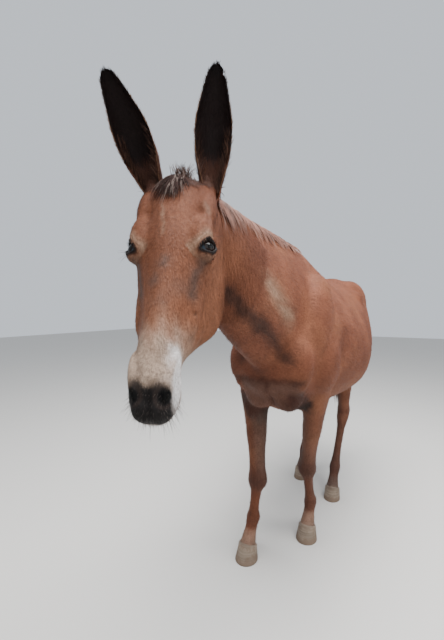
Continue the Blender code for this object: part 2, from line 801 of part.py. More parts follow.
def keep_largest(shape):
    """Drops every loose island but the one with the most faces."""
    left = set(shape.verts)
    islands = []
    while left:
        grown = {left.pop()}
        edge = list(grown)
        while edge:
            vert = edge.pop()
            for link in vert.link_edges:
                other = link.other_vert(vert)
                if other in left:
                    left.discard(other)
                    grown.add(other)
                    edge.append(other)
        islands.append(grown)
    largest = max(islands, key=len)
    loose = [v for v in shape.verts if v not in largest]
    bmesh.ops.delete(shape, geom=loose, context="VERTS")


def thinned(obj, triangles, home):
    """The object with about this many triangles."""
    count = sum(len(p.vertices) - 2 for p in obj.data.polygons)
    step = obj.modifiers.new("thin", "DECIMATE")
    step.ratio = min(1.0, triangles / count)
    return evaluated(obj, home)


def parted(skin, name, planes, triangles, home):
    """One node of the skin: cut roughly, thinned, then cut again so that its seams are flat."""
    rough = bisected(skin, name + "_rough", planes, home, spare=0.012)
    thin = thinned(rough, triangles, home)
    made = bisected(thin, name, planes, home)
    bpy.data.objects.remove(thin)
    return made


# Seams between the nodes: a point on each plane, and its normal
HEAD_SEAM = (Vector((0, -1.17, 1.56)), Vector((0.16, -0.90, -0.40)))
THROAT_END = Vector((0, -0.84, 1.0))
NECK_SEAM = (Vector((0, -0.34, 1.50)), Vector((0, -0.776, 0.632)))
GIRTH_SEAM = (Vector((0, -0.09, 1.0)), Vector((0, 1, 0)))
FLANK_SEAM = (Vector((0, 0.30, 1.0)), Vector((0, 1, 0.25)))
ARMPIT_SEAM = (Vector((0, -0.24, 0.715)), Vector((0, -0.155, -1)))
GROIN_SEAM = (Vector((0, 0.40, 0.735)), Vector((0, 0.48, -1)))


def away(seam):
    """The same plane, facing the other way."""
    return (seam[0], -Vector(seam[1]))


def leg_planes(name):
    """The planes that part a leg from the trunk above, the hoof below and the other leg."""
    _, _, _, coronet = joints_of(name)
    seam = ARMPIT_SEAM if name.startswith("fore") else GROIN_SEAM
    tilt = Matrix.Rotation(-HOOF_TILT, 3, "X")
    side = FEET[name]["side"]
    return [away(seam), (coronet, tilt @ Vector((0, 0, -1))), (Vector((0, 0, 0)), Vector((-side, 0, 0)))]


SHARP = math.radians(35)


def finish(obj, colour, roughness):
    """The node's plain material and smooth shading."""
    material = bpy.data.materials.new(obj.name)
    material.use_nodes = True
    shader = material.node_tree.nodes["Principled BSDF"]
    shader.inputs["Base Color"].default_value = (*colour, 1)
    shader.inputs["Roughness"].default_value = roughness
    obj.data.materials.clear()
    obj.data.materials.append(material)
    obj.data.shade_smooth()
    obj.data.set_sharp_from_angle(angle=SHARP)


def centred(nodes):
    """Moves every node so that the model's box stands on the floor, centred on the origin."""
    points = [Vector(v.co) for node in nodes for v in node.data.vertices]
    low = Vector([min(p[i] for p in points) for i in range(3)])
    high = Vector([max(p[i] for p in points) for i in range(3)])
    shift = Vector((-(low.x + high.x) / 2, -(low.y + high.y) / 2, -low.z))
    for node in nodes:
        node.data.transform(Matrix.Translation(shift))


def main():
    clear_scene()
    mule = collection("mule")
    scratch = collection("scratch")
    masses = trunk_masses(scratch) + [neck_mass(scratch)]
    for name in FEET:
        masses += leg_masses(name, scratch)
    torso = fused("torso", masses, TRUNK_VOXEL, TRUNK_SMOOTHING, scratch)
    near_head = bisected(torso, "near_head", [(THROAT_END, Vector((0, 1, 0)))], scratch)
    masses = [near_head] + head_masses(scratch)
    head_skin = fused("head_skin", masses, HEAD_VOXEL, HEAD_SMOOTHING, scratch)
    masses = [torso] + head_masses(scratch)
    for name in FEET:
        masses += leg_masses(name, scratch, whole=False)
    body_skin = fused("body_skin", masses, BODY_VOXEL, BODY_SMOOTHING, scratch)

    head = parted(head_skin, "head", [away(HEAD_SEAM)], 2300, mule)
    bare = grown(head, "head_gap", GAP, scratch)
    head = cut(head, face_cutters(head, scratch), "DIFFERENCE", mule)
    head = cut(head, forelock_locks(surface(head_skin), scratch), "UNION", mule)
    finish(head, COAT, 0.6)
    nodes = [head]
    neck = parted(body_skin, "neck", [HEAD_SEAM, away(NECK_SEAM)], 600, mule)
    neck = cut(neck, mane_locks(surface(body_skin), scratch), "UNION", mule)
    for word, side in (("left", 1), ("right", -1)):
        eye = eyeball("eye_" + word, side, EYE_RADIUS, mule)
        finish(eye, EYE, 0.1)
        flap = ear("ear_" + word, side, mule)
        tools = [grown(bare, "head_tool", 0.0, scratch), grown(neck, "neck_tool", GAP, scratch)]
        flap = cut(flap, tools, "DIFFERENCE", mule, solver="MANIFOLD")
        finish(flap, EAR, 0.7)
        nodes += [eye, flap]
    front = [NECK_SEAM, GIRTH_SEAM, ARMPIT_SEAM]
    fore = parted(body_skin, "forequarters", front, 1000, mule)
    middle = [away(GIRTH_SEAM), FLANK_SEAM, GROIN_SEAM]
    barrel = parted(body_skin, "barrel", middle, 450, mule)
    hind = parted(body_skin, "hindquarters", [away(FLANK_SEAM), GROIN_SEAM], 900, mule)
    for flesh in (neck, fore, barrel, hind):
        finish(flesh, COAT, 0.6)
        nodes.append(flesh)
    for name in FEET:
        half = GIRTH_SEAM if name.startswith("fore") else away(GIRTH_SEAM)
        leg = parted(body_skin, name, [half, *leg_planes(name)], 600, mule)
        finish(leg, COAT, 0.6)
        horn = hoof(name, mule)
        finish(horn, HORN, 0.6)
        nodes += [leg, horn]
    tail = loft("tail", tube(DOCK, Vector((1, 0, 0)), 3, 14), mule)
    tail = cut(tail, tail_locks(scratch), "UNION", mule)
    tail = cut(tail, [grown(hind, "rump_gap", GAP, scratch)], "DIFFERENCE", mule)
    finish(tail, HAIR, 0.7)
    nodes.append(tail)
    for leftover in list(scratch.objects):
        bpy.data.objects.remove(leftover)
    bpy.data.collections.remove(scratch)
    centred(nodes)


main()
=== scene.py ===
# %% [markdown]
# # A mule that has stopped to look at you
# This lesson dresses a plain solid model of a mule: red-brown coat, pale muzzle, dark ears.
# The solids give size and pose. Everything here is built around them, in metres, Z up,
# with the animal facing -Y and its left side at +X.

# %% Load the frame
import json
import math
import bmesh
import bpy
import numpy as np
from mathutils import Matrix, Vector
from mathutils.bvhtree import BVHTree

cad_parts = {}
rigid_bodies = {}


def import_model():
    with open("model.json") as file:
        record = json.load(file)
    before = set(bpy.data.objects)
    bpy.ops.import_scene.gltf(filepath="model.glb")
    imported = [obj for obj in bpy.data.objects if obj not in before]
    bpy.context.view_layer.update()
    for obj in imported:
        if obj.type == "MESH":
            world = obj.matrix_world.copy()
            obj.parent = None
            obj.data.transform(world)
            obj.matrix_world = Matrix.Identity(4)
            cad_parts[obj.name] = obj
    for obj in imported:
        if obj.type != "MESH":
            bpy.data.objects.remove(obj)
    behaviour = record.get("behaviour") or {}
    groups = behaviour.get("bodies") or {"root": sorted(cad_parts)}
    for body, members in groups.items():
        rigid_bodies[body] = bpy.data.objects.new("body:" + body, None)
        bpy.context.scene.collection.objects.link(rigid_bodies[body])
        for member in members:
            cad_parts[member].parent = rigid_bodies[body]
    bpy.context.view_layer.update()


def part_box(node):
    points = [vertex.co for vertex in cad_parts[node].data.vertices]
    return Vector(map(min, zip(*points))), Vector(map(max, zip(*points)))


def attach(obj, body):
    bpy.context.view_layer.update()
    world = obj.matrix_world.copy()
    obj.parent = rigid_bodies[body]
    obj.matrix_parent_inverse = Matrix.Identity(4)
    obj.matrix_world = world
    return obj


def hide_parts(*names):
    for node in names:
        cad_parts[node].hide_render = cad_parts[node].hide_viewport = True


for leftover in list(bpy.data.objects):
    bpy.data.objects.remove(leftover)
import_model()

# %% [markdown]
# The coat of a horse or mule is only a few millimetres deep on the body, yet it hides every
# seam between the solids. So the flesh is made again here as one closed skin, from the same
# named sizes as the solids, a little smaller by the depth of the coat.

# %% Driving sizes
HEAD_LENGTH = 0.585
EAR_LENGTH = 0.300
EYE_RADIUS = 0.0235
COAT_DEPTH = 0.0020
WITHERS = 1.515
POLL = Vector((-0.005, -1.240, 1.558))
HEAD_YAW = math.radians(21.5)
HEAD_DROP = math.radians(62)
FEET = {
    "foreleg_right": {"side": -1, "sole": (-0.180, -0.45), "swing": -0.01},
    "foreleg_left": {"side": 1, "sole": (0.035, -0.16), "swing": 0.13},
    "hindleg_left": {"side": 1, "sole": (0.070, 0.31), "swing": -0.06},
    "hindleg_right": {"side": -1, "sole": (-0.185, 0.49), "swing": 0.0},
}

# %% [markdown]
# The head is turned, so it has a frame of its own: S to its left, A down the face as a share
# of its length, N out of the forehead. Measuring on the head in these is much easier.

# %% The head's own frame
LEFTWARD = Vector((math.cos(HEAD_YAW), math.sin(HEAD_YAW), 0))
ONWARD = Vector((math.sin(HEAD_YAW), -math.cos(HEAD_YAW), 0))
FACE_DOWN = ONWARD * math.cos(HEAD_DROP) + Vector((0, 0, -math.sin(HEAD_DROP)))
FACE_OUT = ONWARD * math.sin(HEAD_DROP) + Vector((0, 0, math.cos(HEAD_DROP)))
HEAD_TURN = Matrix((LEFTWARD, FACE_DOWN, FACE_OUT)).transposed().to_4x4()
EYE_PLACE = (0.0815, 0.350, -0.042)


def on_head(across, along, out):
    """A point given in the head's own frame."""
    return POLL + LEFTWARD * across + FACE_DOWN * along * HEAD_LENGTH + FACE_OUT * out


def head_places(points):
    """Every point as (S, A, N) in the head's own frame."""
    away = np.asarray(points) - np.array(POLL)
    axes = np.array([LEFTWARD, FACE_DOWN / HEAD_LENGTH, FACE_OUT])
    return away @ axes.T


eye_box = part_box("eye_left")
SHIFT = (eye_box[0] + eye_box[1]) / 2 - on_head(*EYE_PLACE)
print("the solids stand", tuple(round(c, 4) for c in SHIFT), "from the sizes' own origin")

# %% [markdown]
# Three small tools make the masses: a smooth curve through rows of numbers, a loft over rings,
# and a ball that can be stretched and turned.

# %% Curves, lofts and balls


def catmull(rows, per_span, closed=False):
    """Rows of numbers carried along a smooth curve through every row."""
    rows = np.array(rows, float)
    count = len(rows)
    out = []
    for i in range(count if closed else count - 1):
        a, b = rows[i], rows[(i + 1) % count]
        before = rows[i - 1] if closed or i else 2 * a - b
        after = rows[(i + 2) % count] if closed or i + 2 < count else 2 * b - a
        for k in range(per_span):
            t = k / per_span
            bend = (2 * before - 5 * a + 4 * b - after) * t**2
            twist = (3 * a - before - 3 * b + after) * t**3
            out.append(0.5 * (2 * a + (b - before) * t + bend + twist))
    if not closed:
        out.append(rows[-1])
    return np.array(out)


def linked(name, data):
    """A new object for a mesh, light or camera, put into the scene."""
    made = bpy.data.objects.new(name, data)
    bpy.context.scene.collection.objects.link(made)
    return made


def mesh_object(name, points, faces):
    """A new object from points and faces."""
    mesh = bpy.data.meshes.new(name)
    mesh.from_pydata([tuple(p) for p in points], [], faces)
    return linked(name, mesh)


def loft(name, rings):
    """A closed body over rings of the same number of points, with a fan at each end."""
    count = len(rings[0])
    points = [Vector(p) for ring in rings for p in ring]
    faces = []
    for i in range(len(rings) - 1):
        for j in range(count):
            k = (j + 1) % count
            a, b = i * count, (i + 1) * count
            faces.append((a + j, b + j, b + k, a + k))
    for first, flip in ((0, True), ((len(rings) - 1) * count, False)):
        points.append(sum((points[first + j] for j in range(count)), Vector()) / count)
        tip = len(points) - 1
        for j in range(count):
            k = (j + 1) % count
            faces.append((first + k, first + j, tip) if flip else (first + j, first + k, tip))
    made = mesh_object(name, points, faces)
    face_out(made.data)
    return made


def face_out(mesh):
    """Turns every face of a closed mesh outwards."""
    shape = bmesh.new()
    shape.from_mesh(mesh)
    bmesh.ops.recalc_face_normals(shape, faces=shape.faces[:])
    shape.to_mesh(mesh)
    shape.free()


def ball(name, centre, radii, turn=None, segments=24):
    """An ellipsoid, turned by a matrix where its axes aren't the frame's."""
    shape = bmesh.new()
    bmesh.ops.create_uvsphere(shape, u_segments=segments, v_segments=segments // 2, radius=1)
    place = Matrix.Translation(centre) @ (turn or Matrix.Identity(4)) @ Matrix.Diagonal((*radii, 1))
    bmesh.ops.transform(shape, matrix=place, verts=shape.verts[:])
    mesh = bpy.data.meshes.new(name)
    shape.to_mesh(mesh)
    shape.free()
    return linked(name, mesh)


def tube(rows, across, per_span=4, sides=20):
    """Rings along rows (x, y, z, half width, half depth): across is the width's direction."""
    rows = catmull(rows, per_span)
    centres = [Vector(r[:3]) for r in rows]
    rings = []
    for i, row in enumerate(rows):
        ahead = (centres[min(i + 1, len(rows) - 1)] - centres[max(i - 1, 0)]).normalized()
        side = (across - ahead * across.dot(ahead)).normalized()
        deep = ahead.cross(side)
        turns = [2 * math.pi * j / sides for j in range(sides)]
        rings.append([centres[i] + side * row[3] * math.cos(a) + deep * row[4] * math.sin(a) for a in turns])
    return rings


# %% [markdown]
# Masses are melted together as clay would be: a voxel remesh closes them into one surface, and
# smoothing rounds the joins. Modifiers are read off through the dependency graph.

# %% Melting masses into one skin


def evaluated(obj):
    """The object with its modifiers applied, as a new plain mesh object in its place."""
    bpy.context.view_layer.update()
    graph = bpy.context.evaluated_depsgraph_get()
    mesh = bpy.data.meshes.new_from_object(obj.evaluated_get(graph))
    name = obj.name
    bpy.data.objects.remove(obj)
    return linked(name, mesh)


def joined(name, objects):
    """One mesh object that holds all of these, which are removed."""
    shape = bmesh.new()
    for obj in objects:
        shape.from_mesh(obj.data)
        bpy.data.objects.remove(obj)
    mesh = bpy.data.meshes.new(name)
    shape.to_mesh(mesh)
    shape.free()
    return linked(name, mesh)


def fused(name, objects, voxel, smoothing):
    """One skin round every mass."""
    whole = joined(name, objects)
    melt = whole.modifiers.new("melt", "REMESH")
    melt.mode = "VOXEL"
    melt.voxel_size = voxel
    rounding = whole.modifiers.new("round", "SMOOTH")
    rounding.factor = 0.5
    rounding.iterations = smoothing
    return evaluated(whole)


# %% [markdown]
# The trunk is a row of sections from breast to buttock. Muscles are balls laid on it, as a
# sculptor lays clay on an armature: shoulder blade, point of the shoulder, triceps, croup.

# %% Trunk and muscles
TRUNK = [
    # y, back, belly, half widths high, middle and low
    (-0.700, 1.08, 0.925, 0.050, 0.075, 0.055),
    (-0.68, 1.14, 0.885, 0.075, 0.118, 0.088),
    (-0.61, 1.25, 0.830, 0.095, 0.155, 0.112),
    (-0.51, 1.36, 0.775, 0.098, 0.190, 0.138),
    (-0.38, 1.485, 0.735, 0.085, 0.220, 0.172),
    (-0.26, WITHERS, 0.725, 0.080, 0.232, 0.180),
    (-0.12, 1.475, 0.704, 0.110, 0.258, 0.215),
    (0.08, 1.405, 0.690, 0.165, 0.290, 0.250),
    (0.24, 1.395, 0.696, 0.185, 0.300, 0.255),
    (0.40, 1.415, 0.750, 0.182, 0.282, 0.225),
    (0.54, 1.438, 0.855, 0.165, 0.250, 0.180),
    (0.66, 1.420, 0.950, 0.145, 0.228, 0.165),
    (0.77, 1.355, 1.020, 0.115, 0.190, 0.140),
    (0.85, 1.280, 1.070, 0.080, 0.130, 0.100),
    (0.885, 1.215, 1.100, 0.045, 0.070, 0.055),
]
MUSCLES = [
    # centre on the left, radii, tilt in degrees about X
    ((0.128, -0.42, 1.16), (0.088, 0.14, 0.24), -25),
    ((0.106, -0.606, 0.995), (0.078, 0.074, 0.125), 0),
    ((0.155, -0.37, 0.99), (0.084, 0.150, 0.160), 25),
    ((0.064, -0.560, 0.866), (0.068, 0.076, 0.082), 10),
    ((0.112, 0.58, 1.26), (0.120, 0.22, 0.160), 0),
    ((0.180, 0.40, 1.27), (0.055, 0.075, 0.070), 0),
    ((0.145, 0.62, 1.08), (0.098, 0.215, 0.210), -8),
    ((0.110, 0.745, 1.13), (0.085, 0.105, 0.185), 8),
]
HIGH, MIDDLE, LOW = 0.14, 0.46, 0.82


def outline(top, bottom, high, middle, low, per_span=4):
    """A closed section through the top, three widths a side and the bottom."""
    depth = top - bottom
    left = [(high, top - HIGH * depth), (middle, top - MIDDLE * depth), (low, top - LOW * depth)]
    corners = [(0, top), *left, (0, bottom), *[(-x, z) for x, z in reversed(left)]]
    return catmull(corners, per_span, closed=True)


def trunk_masses():
    """The barrel of the body and the muscles that lie on it."""
    rings = [[(x, row[0], z) for x, z in outline(*row[1:])] for row in catmull(TRUNK, 3)]
    made = [loft("trunk", rings)]
    for centre, radii, tilt in MUSCLES:
        turn = Matrix.Rotation(math.radians(tilt), 4, "X")
        for side in (1, -1):
            made.append(ball("muscle", Vector((centre[0] * side, *centre[1:])), radii, turn, 16))
    return made


# %% [markdown]
# The neck is lofted between two lines, its crest and its throat. Near the poll its sections
# turn with the head, because the mule looks round to its left.

# %% Neck
NECK = [
    # crest x, y, z, throat x, y, z, half width
    (0.000, -0.16, 1.465, 0.000, -0.52, 0.80, 0.150),
    (0.000, -0.30, 1.508, 0.000, -0.575, 0.880, 0.148),
    (0.003, -0.50, 1.518, 0.003, -0.700, 0.968, 0.126),
    (0.010, -0.72, 1.520, 0.008, -0.885, 1.066, 0.104),
    (0.015, -0.94, 1.525, 0.008, -1.020, 1.155, 0.090),
    (0.008, -1.12, 1.545, -0.010, -1.095, 1.235, 0.080),
    (-0.003, -1.22, 1.545, -0.030, -1.150, 1.290, 0.072),
]


def neck_mass():
    """The neck, between its crest and the line of the throat."""
    rings = []
    for row in catmull(NECK, 4):
        crest, throat, width = Vector(row[:3]), Vector(row[3:6]), row[6]
        up = crest - throat
        across = Vector((1, 0, 0))
        if crest.y < NECK[3][1]:
            blend = min(1.0, (NECK[3][1] - crest.y) / (NECK[3][1] - NECK[-1][1]))
            across = across.lerp(LEFTWARD, blend).normalized()
        side = (across - up * across.dot(up) / up.length_squared).normalized()
        shape = outline(up.length, 0, 0.55 * width, width, 0.80 * width)
        rings.append([throat + up.normalized() * z + side * x for x, z in shape])
    return loft("neck", rings)


# %% [markdown]
# A mule's head is long and deep at the jaw, with heavy brows. The skull is a loft down the
# face, and brows, cheeks, facial crests, nostrils and lips are masses melted into it.

# %% Head
SKULL = [
    # share of the length, face line, jaw line, half widths high, middle and low
    (-0.06, -0.050, -0.150, 0.038, 0.058, 0.052),
    (0.00, -0.004, -0.215, 0.060, 0.083, 0.074),
    (0.10, 0.006, -0.262, 0.086, 0.106, 0.090),
    (0.20, 0.010, -0.298, 0.090, 0.106, 0.097),
    (0.33, 0.010, -0.318, 0.085, 0.104, 0.101),
    (0.44, 0.004, -0.324, 0.072, 0.101, 0.101),
    (0.56, -0.004, -0.302, 0.053, 0.090, 0.088),
    (0.68, -0.010, -0.222, 0.040, 0.064, 0.055),
    (0.79, -0.016, -0.148, 0.037, 0.050, 0.038),
    (0.88, -0.024, -0.134, 0.042, 0.055, 0.042),
    (0.95, -0.040, -0.128, 0.039, 0.051, 0.041),
    (1.00, -0.060, -0.116, 0.027, 0.039, 0.031),
    (1.02, -0.074, -0.108, 0.014, 0.021, 0.016),
]
FEATURES = [
    # place, radii across, along and out, turn about A, on both sides
    ((0.069, 0.285, -0.026), (0.034, 0.066, 0.026), 0),
    ((0.074, 0.140, -0.042), (0.030, 0.075, 0.036), 0),
    (EYE_PLACE, (0.0300, 0.0340, 0.0315), 0),
    ((0.060, 0.340, -0.175), (0.046, 0.120, 0.100), 0),
    ((0.064, 0.480, -0.092), (0.020, 0.125, 0.018), 0),
    ((0.036, 0.870, -0.056), (0.018, 0.058, 0.028), 10),
    ((0.068, 0.030, -0.058), (0.030, 0.046, 0.042), 0),
    ((0.013, 0.962, -0.074), (0.031, 0.036, 0.033), 0),
]
CHIN = (0.004, 0.905, -0.134)
CHIN_RADII = (0.041, 0.050, 0.027)


def head_masses():
    """The skull's loft with the masses that lie on it."""
    rings = [[on_head(x, row[0], z) for x, z in outline(*row[1:])] for row in catmull(SKULL, 4)]
    made = [loft("skull", rings)]
    for place, radii, about in FEATURES:
        for side in (1, -1):
            spin = Matrix.Rotation(math.radians(about * side), 4, "Z")
            where = on_head(place[0] * side, *place[1:])
            made.append(ball("feature", where, radii, HEAD_TURN @ spin))
    made.append(ball("chin", on_head(*CHIN), CHIN_RADII, HEAD_TURN))
    return made


# %% [markdown]
# Each leg runs from the elbow or stifle through knee or hock and fetlock to the coronet.
# The hock's place follows from two bones of fixed length, so the leg bends as a real one does.

# %% Legs
FORELEG_UPPER = [
    # share of the way between joints, half width, half depth
    (-0.30, 0.070, 0.115),
    (0.00, 0.068, 0.100),
    (0.22, 0.058, 0.080),
    (0.45, 0.049, 0.062),
    (0.70, 0.040, 0.048),
    (0.88, 0.0400, 0.0430),
    (1.00, 0.0480, 0.0480),
]
FORELEG_LOWER = [
    (0.12, 0.0440, 0.0430),
    (0.26, 0.0290, 0.0345),
    (0.50, 0.0245, 0.0315),
    (0.78, 0.0260, 0.0330),
    (0.95, 0.0335, 0.0395),
]
HINDLEG_UPPER = [
    (-0.45, 0.090, 0.190),
    (-0.15, 0.085, 0.155),
    (0.10, 0.075, 0.120),
    (0.35, 0.062, 0.085),
    (0.60, 0.048, 0.060),
    (0.85, 0.0380, 0.0500),
    (1.00, 0.0420, 0.0560),
]
HINDLEG_LOWER = [
    (0.14, 0.0380, 0.0480),
    (0.30, 0.0270, 0.0370),
    (0.55, 0.0240, 0.0320),
    (0.80, 0.0265, 0.0335),
    (0.96, 0.0340, 0.0400),
]
PASTERN = [(0.35, 0.0290, 0.0325), (0.75, 0.0340, 0.0385), (1.20, 0.0420, 0.0470)]
ELBOW = Vector((0.128, -0.455, 0.86))
KNEE_HEIGHT = 0.395
KNEE_AHEAD = 0.012
KNEE_IN = 0.026
STIFLE = Vector((0.128, 0.425, 0.93))
HOCK_REACH = 0.45
FETLOCK_RISE = 0.162
FETLOCK_BACK = 0.075
CORONET_RISE = 0.070
CORONET_BACK = 0.016
HOOF_TILT = math.radians(20)
ROOT_SHRINK = 0.86


def joints_of(name):
    """The joints of a leg, from the elbow or stifle down, as points."""
    leg = FEET[name]
    x, y = leg["sole"]
    fetlock = Vector((x, y + FETLOCK_BACK, FETLOCK_RISE))
    coronet = Vector((x, y + CORONET_BACK, CORONET_RISE))
    fore = name.startswith("fore")
    root = (ELBOW if fore else STIFLE).copy()
    root.x *= leg["side"]
    root.y += leg["swing"]
    if fore:
        share = (root.z - KNEE_HEIGHT) / (root.z - fetlock.z)
        middle = root.lerp(fetlock, share)
        middle.x -= leg["side"] * KNEE_IN
        middle.y -= KNEE_AHEAD
    else:
        span = fetlock - root
        cannon = HOCK_REACH - 0.06
        along = (HOCK_REACH**2 - cannon**2 + span.length_squared) / (2 * span.length)
        off = math.sqrt(max(0.0, HOCK_REACH**2 - along**2))
        ahead = span.normalized()
        back = Vector((0, 1, 0))
        back = (back - ahead * back.dot(ahead)).normalized()
        middle = root + ahead * along + back * off
    return [root, middle, fetlock, coronet]


def leg_masses(name, whole=True):
    """One leg to the coronet. Unless it is whole, its top is drawn in under the skin."""
    root, middle, fetlock, coronet = joints_of(name)
    fore = name.startswith("fore")
    upper, lower = (FORELEG_UPPER, FORELEG_LOWER) if fore else (HINDLEG_UPPER, HINDLEG_LOWER)
    rows = []
    for start, end, shares in ((root, middle, upper), (middle, fetlock, lower), (fetlock, coronet, PASTERN)):
        for share, width, depth in shares:
            rows.append((*(start + (end - start) * share), width, depth))
    if not whole:
        rows = [(*row[:3], row[3] * ROOT_SHRINK, row[4] * ROOT_SHRINK) for row in rows[1:3]] + rows[3:]
    across = Vector((1, 0, 0))
    made = [loft(name, tube(rows, across))]
    if fore:
        made.append(ball("knee", middle + Vector((0, -0.014, 0.004)), (0.040, 0.034, 0.046)))
        made.append(ball("knee_back", middle + Vector((0, 0.034, 0.012)), (0.020, 0.020, 0.030)))
    else:
        heel = middle + (root - middle).normalized() * 0.045 + Vector((0, 0.060, 0.010))
        made.append(ball("hock_point", heel, (0.022, 0.026, 0.036)))
        string = [
            (*heel, 0.018, 0.022),
            (*(heel.lerp(root, 0.35) + Vector((0, 0.040, 0))), 0.020, 0.034),
            (*(root + Vector((-0.01 * FEET[name]["side"], 0.18, 0.03))), 0.050, 0.085),
        ]
        made.append(loft("hamstring", tube(string, across)))
    made.append(ball("ergot", fetlock + Vector((0, 0.022, -0.006)), (0.026, 0.024, 0.028)))
    return made


# %% [markdown]
# The dock is the fleshy root of the tail. It belongs to the skin, and the long hair grows on it.

# %% One skin
DOCK = [
    # x, y, z, half width, half depth
    (0.000, 0.800, 1.285, 0.030, 0.030),
    (0.000, 0.870, 1.265, 0.031, 0.029),
    (0.000, 0.925, 1.190, 0.027, 0.025),
    (0.002, 0.945, 1.080, 0.024, 0.022),
    (0.004, 0.948, 0.960, 0.020, 0.018),
    (0.005, 0.948, 0.880, 0.008, 0.007),
]
TORSO_VOXEL = 0.012
SKIN_VOXEL = 0.0038


def coarse_torso():
    """Trunk, neck and legs melted on a wide grid, which gives soft joins, then made smooth."""
    masses = trunk_masses() + [neck_mass()]
    for name in FEET:
        masses += leg_masses(name)
    torso = fused("torso", masses, TORSO_VOXEL, 14)
    step = torso.modifiers.new("smoother", "SUBSURF")
    step.levels = 1
    step.render_levels = 1
    return evaluated(torso)


masses = [coarse_torso()] + head_masses() + [loft("dock", tube(DOCK, Vector((1, 0, 0)), 4, 16))]
for leg_name in FEET:
    masses += leg_masses(leg_name, whole=False)
skin = fused("skin", masses, SKIN_VOXEL, 9)
print("melted skin", len(skin.data.polygons), "faces")

# %% [markdown]
# The fine grid is only needed on the head, where folds, lids and nostrils lie. Decimate thins
# the rest: a vertex group tells it which points it may merge.

# %% Thin the body, keep the head fine
SKIN_TRIANGLES = 132000
JAW_DEPTH = -0.34


def points_of(obj):
    """The vertices of an object as an array."""
    found = np.empty(len(obj.data.vertices) * 3, np.float32)
    obj.data.vertices.foreach_get("co", found)
    return found.reshape(-1, 3).astype(float)


def normals_of(obj):
    """The vertex normals of an object as an array."""
    found = np.empty(len(obj.data.vertices) * 3, np.float32)
    obj.data.vertices.foreach_get("normal", found)
    return found.reshape(-1, 3).astype(float)


def put_points(obj, points):
    """Gives an object's vertices new places."""
    obj.data.vertices.foreach_set("co", np.asarray(points, np.float32).ravel())
    obj.data.update()


def on_the_head(points):
    """Which points lie on the head in front of the throat."""
    head = head_places(points)
    return (head[:, 1] > -0.05) & (head[:, 1] < 1.2) & (head[:, 2] > JAW_DEPTH)


def thinned(obj, triangles):
    """The object with about this many triangles, none of them lost on the head."""
    spared = on_the_head(points_of(obj))
    group = obj.vertex_groups.new(name="may_merge")
    group.add([int(i) for i in np.nonzero(~spared)[0]], 1.0, "REPLACE")
    step = obj.modifiers.new("thin", "DECIMATE")
    step.vertex_group = group.name
    step.ratio = triangles / (2 * len(obj.data.polygons))
    return evaluated(obj)


skin = thinned(skin, SKIN_TRIANGLES)
print("thinned skin", len(skin.data.polygons), "faces")

# %% [markdown]
# A second helping of points goes where the smallest forms are: round the eyes and the nose.

# %% Eye axes and finer faces near eyes and nose
EYE_LOOKS = (0.68, 0.00, 0.73)
EYE_SLANT = math.radians(30)
EYE_OPENING = (0.0228, 0.0160)
LID_PINCH = 0.22
EYE_REGION = 0.045
NOSE_FROM = 0.84


def eye_axes(side):
    """Centre of an eyeball, the way it looks, and the long and short axes between its lids."""
    centre = on_head(EYE_PLACE[0] * side, EYE_PLACE[1], EYE_PLACE[2])
    looks = LEFTWARD * EYE_LOOKS[0] * side + FACE_DOWN * EYE_LOOKS[1] + FACE_OUT * EYE_LOOKS[2]
    looks.normalize()
    inward = (FACE_OUT - looks * FACE_OUT.dot(looks)).normalized()
    long = inward * math.cos(EYE_SLANT) + FACE_DOWN * math.sin(EYE_SLANT)
    long = (long - looks * long.dot(looks)).normalized()
    return centre, looks, long, looks.cross(long)


def upward_sign(short):
    """1 where the short axis between the lids points up the face, and -1 where it points down."""
    return 1 if short.dot(FACE_DOWN) < 0 else -1


def refined(obj, wanted):
    """Splits every triangle whose corners are all wanted into four."""
    shape = bmesh.new()
    shape.from_mesh(obj.data)
    shape.verts.ensure_lookup_table()
    edges = [e for e in shape.edges if wanted[e.verts[0].index] and wanted[e.verts[1].index]]
    bmesh.ops.subdivide_edges(shape, edges=edges, cuts=1, smooth=0.6)
    bmesh.ops.triangulate(shape, faces=shape.faces[:])
    shape.to_mesh(obj.data)
    shape.free()


places = points_of(skin)
small_forms = head_places(places)[:, 1] > NOSE_FROM
for side in (1, -1):
    centre = np.array(eye_axes(side)[0])
    small_forms |= np.linalg.norm(places - centre, axis=1) < EYE_REGION
small_forms &= on_the_head(places)
refined(skin, small_forms)
print("refined skin", len(skin.data.polygons), "faces")

# %% [markdown]
# Now the sculpting. Each fold, vein or hollow is a small push along the normals, strongest on
# a path or at a point and fading with distance, so one line of numbers describes one form.

# %% Brushes


def near_point(points, centre, radius):
    """1 at the centre, fading to nothing a few radii away; radius may differ along each axis."""
    away = (points - np.array(centre)) / np.array(radius)
    return np.exp(-(away**2).sum(1))


def near_path(points, path, width):
    """1 on a chain of straight runs, fading over the width."""
    path = np.array(path, float)
    best = np.full(len(points), np.inf)
    for a, b in zip(path[:-1], path[1:]):
        run = b - a
        t = np.clip(((points - a) @ run) / (run @ run), 0, 1)
        gap = points - a - t[:, None] * run
        best = np.minimum(best, (gap**2).sum(1))
    return np.exp(-best / width**2)


def ramp(values, low, high):
    """0 below low, 1 above high, smooth between."""
    t = np.clip((values - low) / (high - low), 0, 1)
    return t * t * (3 - 2 * t)


def both_sides(place):
    """A place on the head's left, in metres, with its mirror image."""
    return [np.array([place[0] * side, place[1] * HEAD_LENGTH, place[2]]) for side in (1, -1)]


def head_metres(points):
    """Places on the head with all three measures in metres."""
    return head_places(points) * np.array([1, HEAD_LENGTH, 1])


# %% [markdown]
# Round the eye the skin lies in folds that follow the lids. Distance from the almond shape of
# the opening is the measure that all of them share.

# %% Distance from the eye's opening


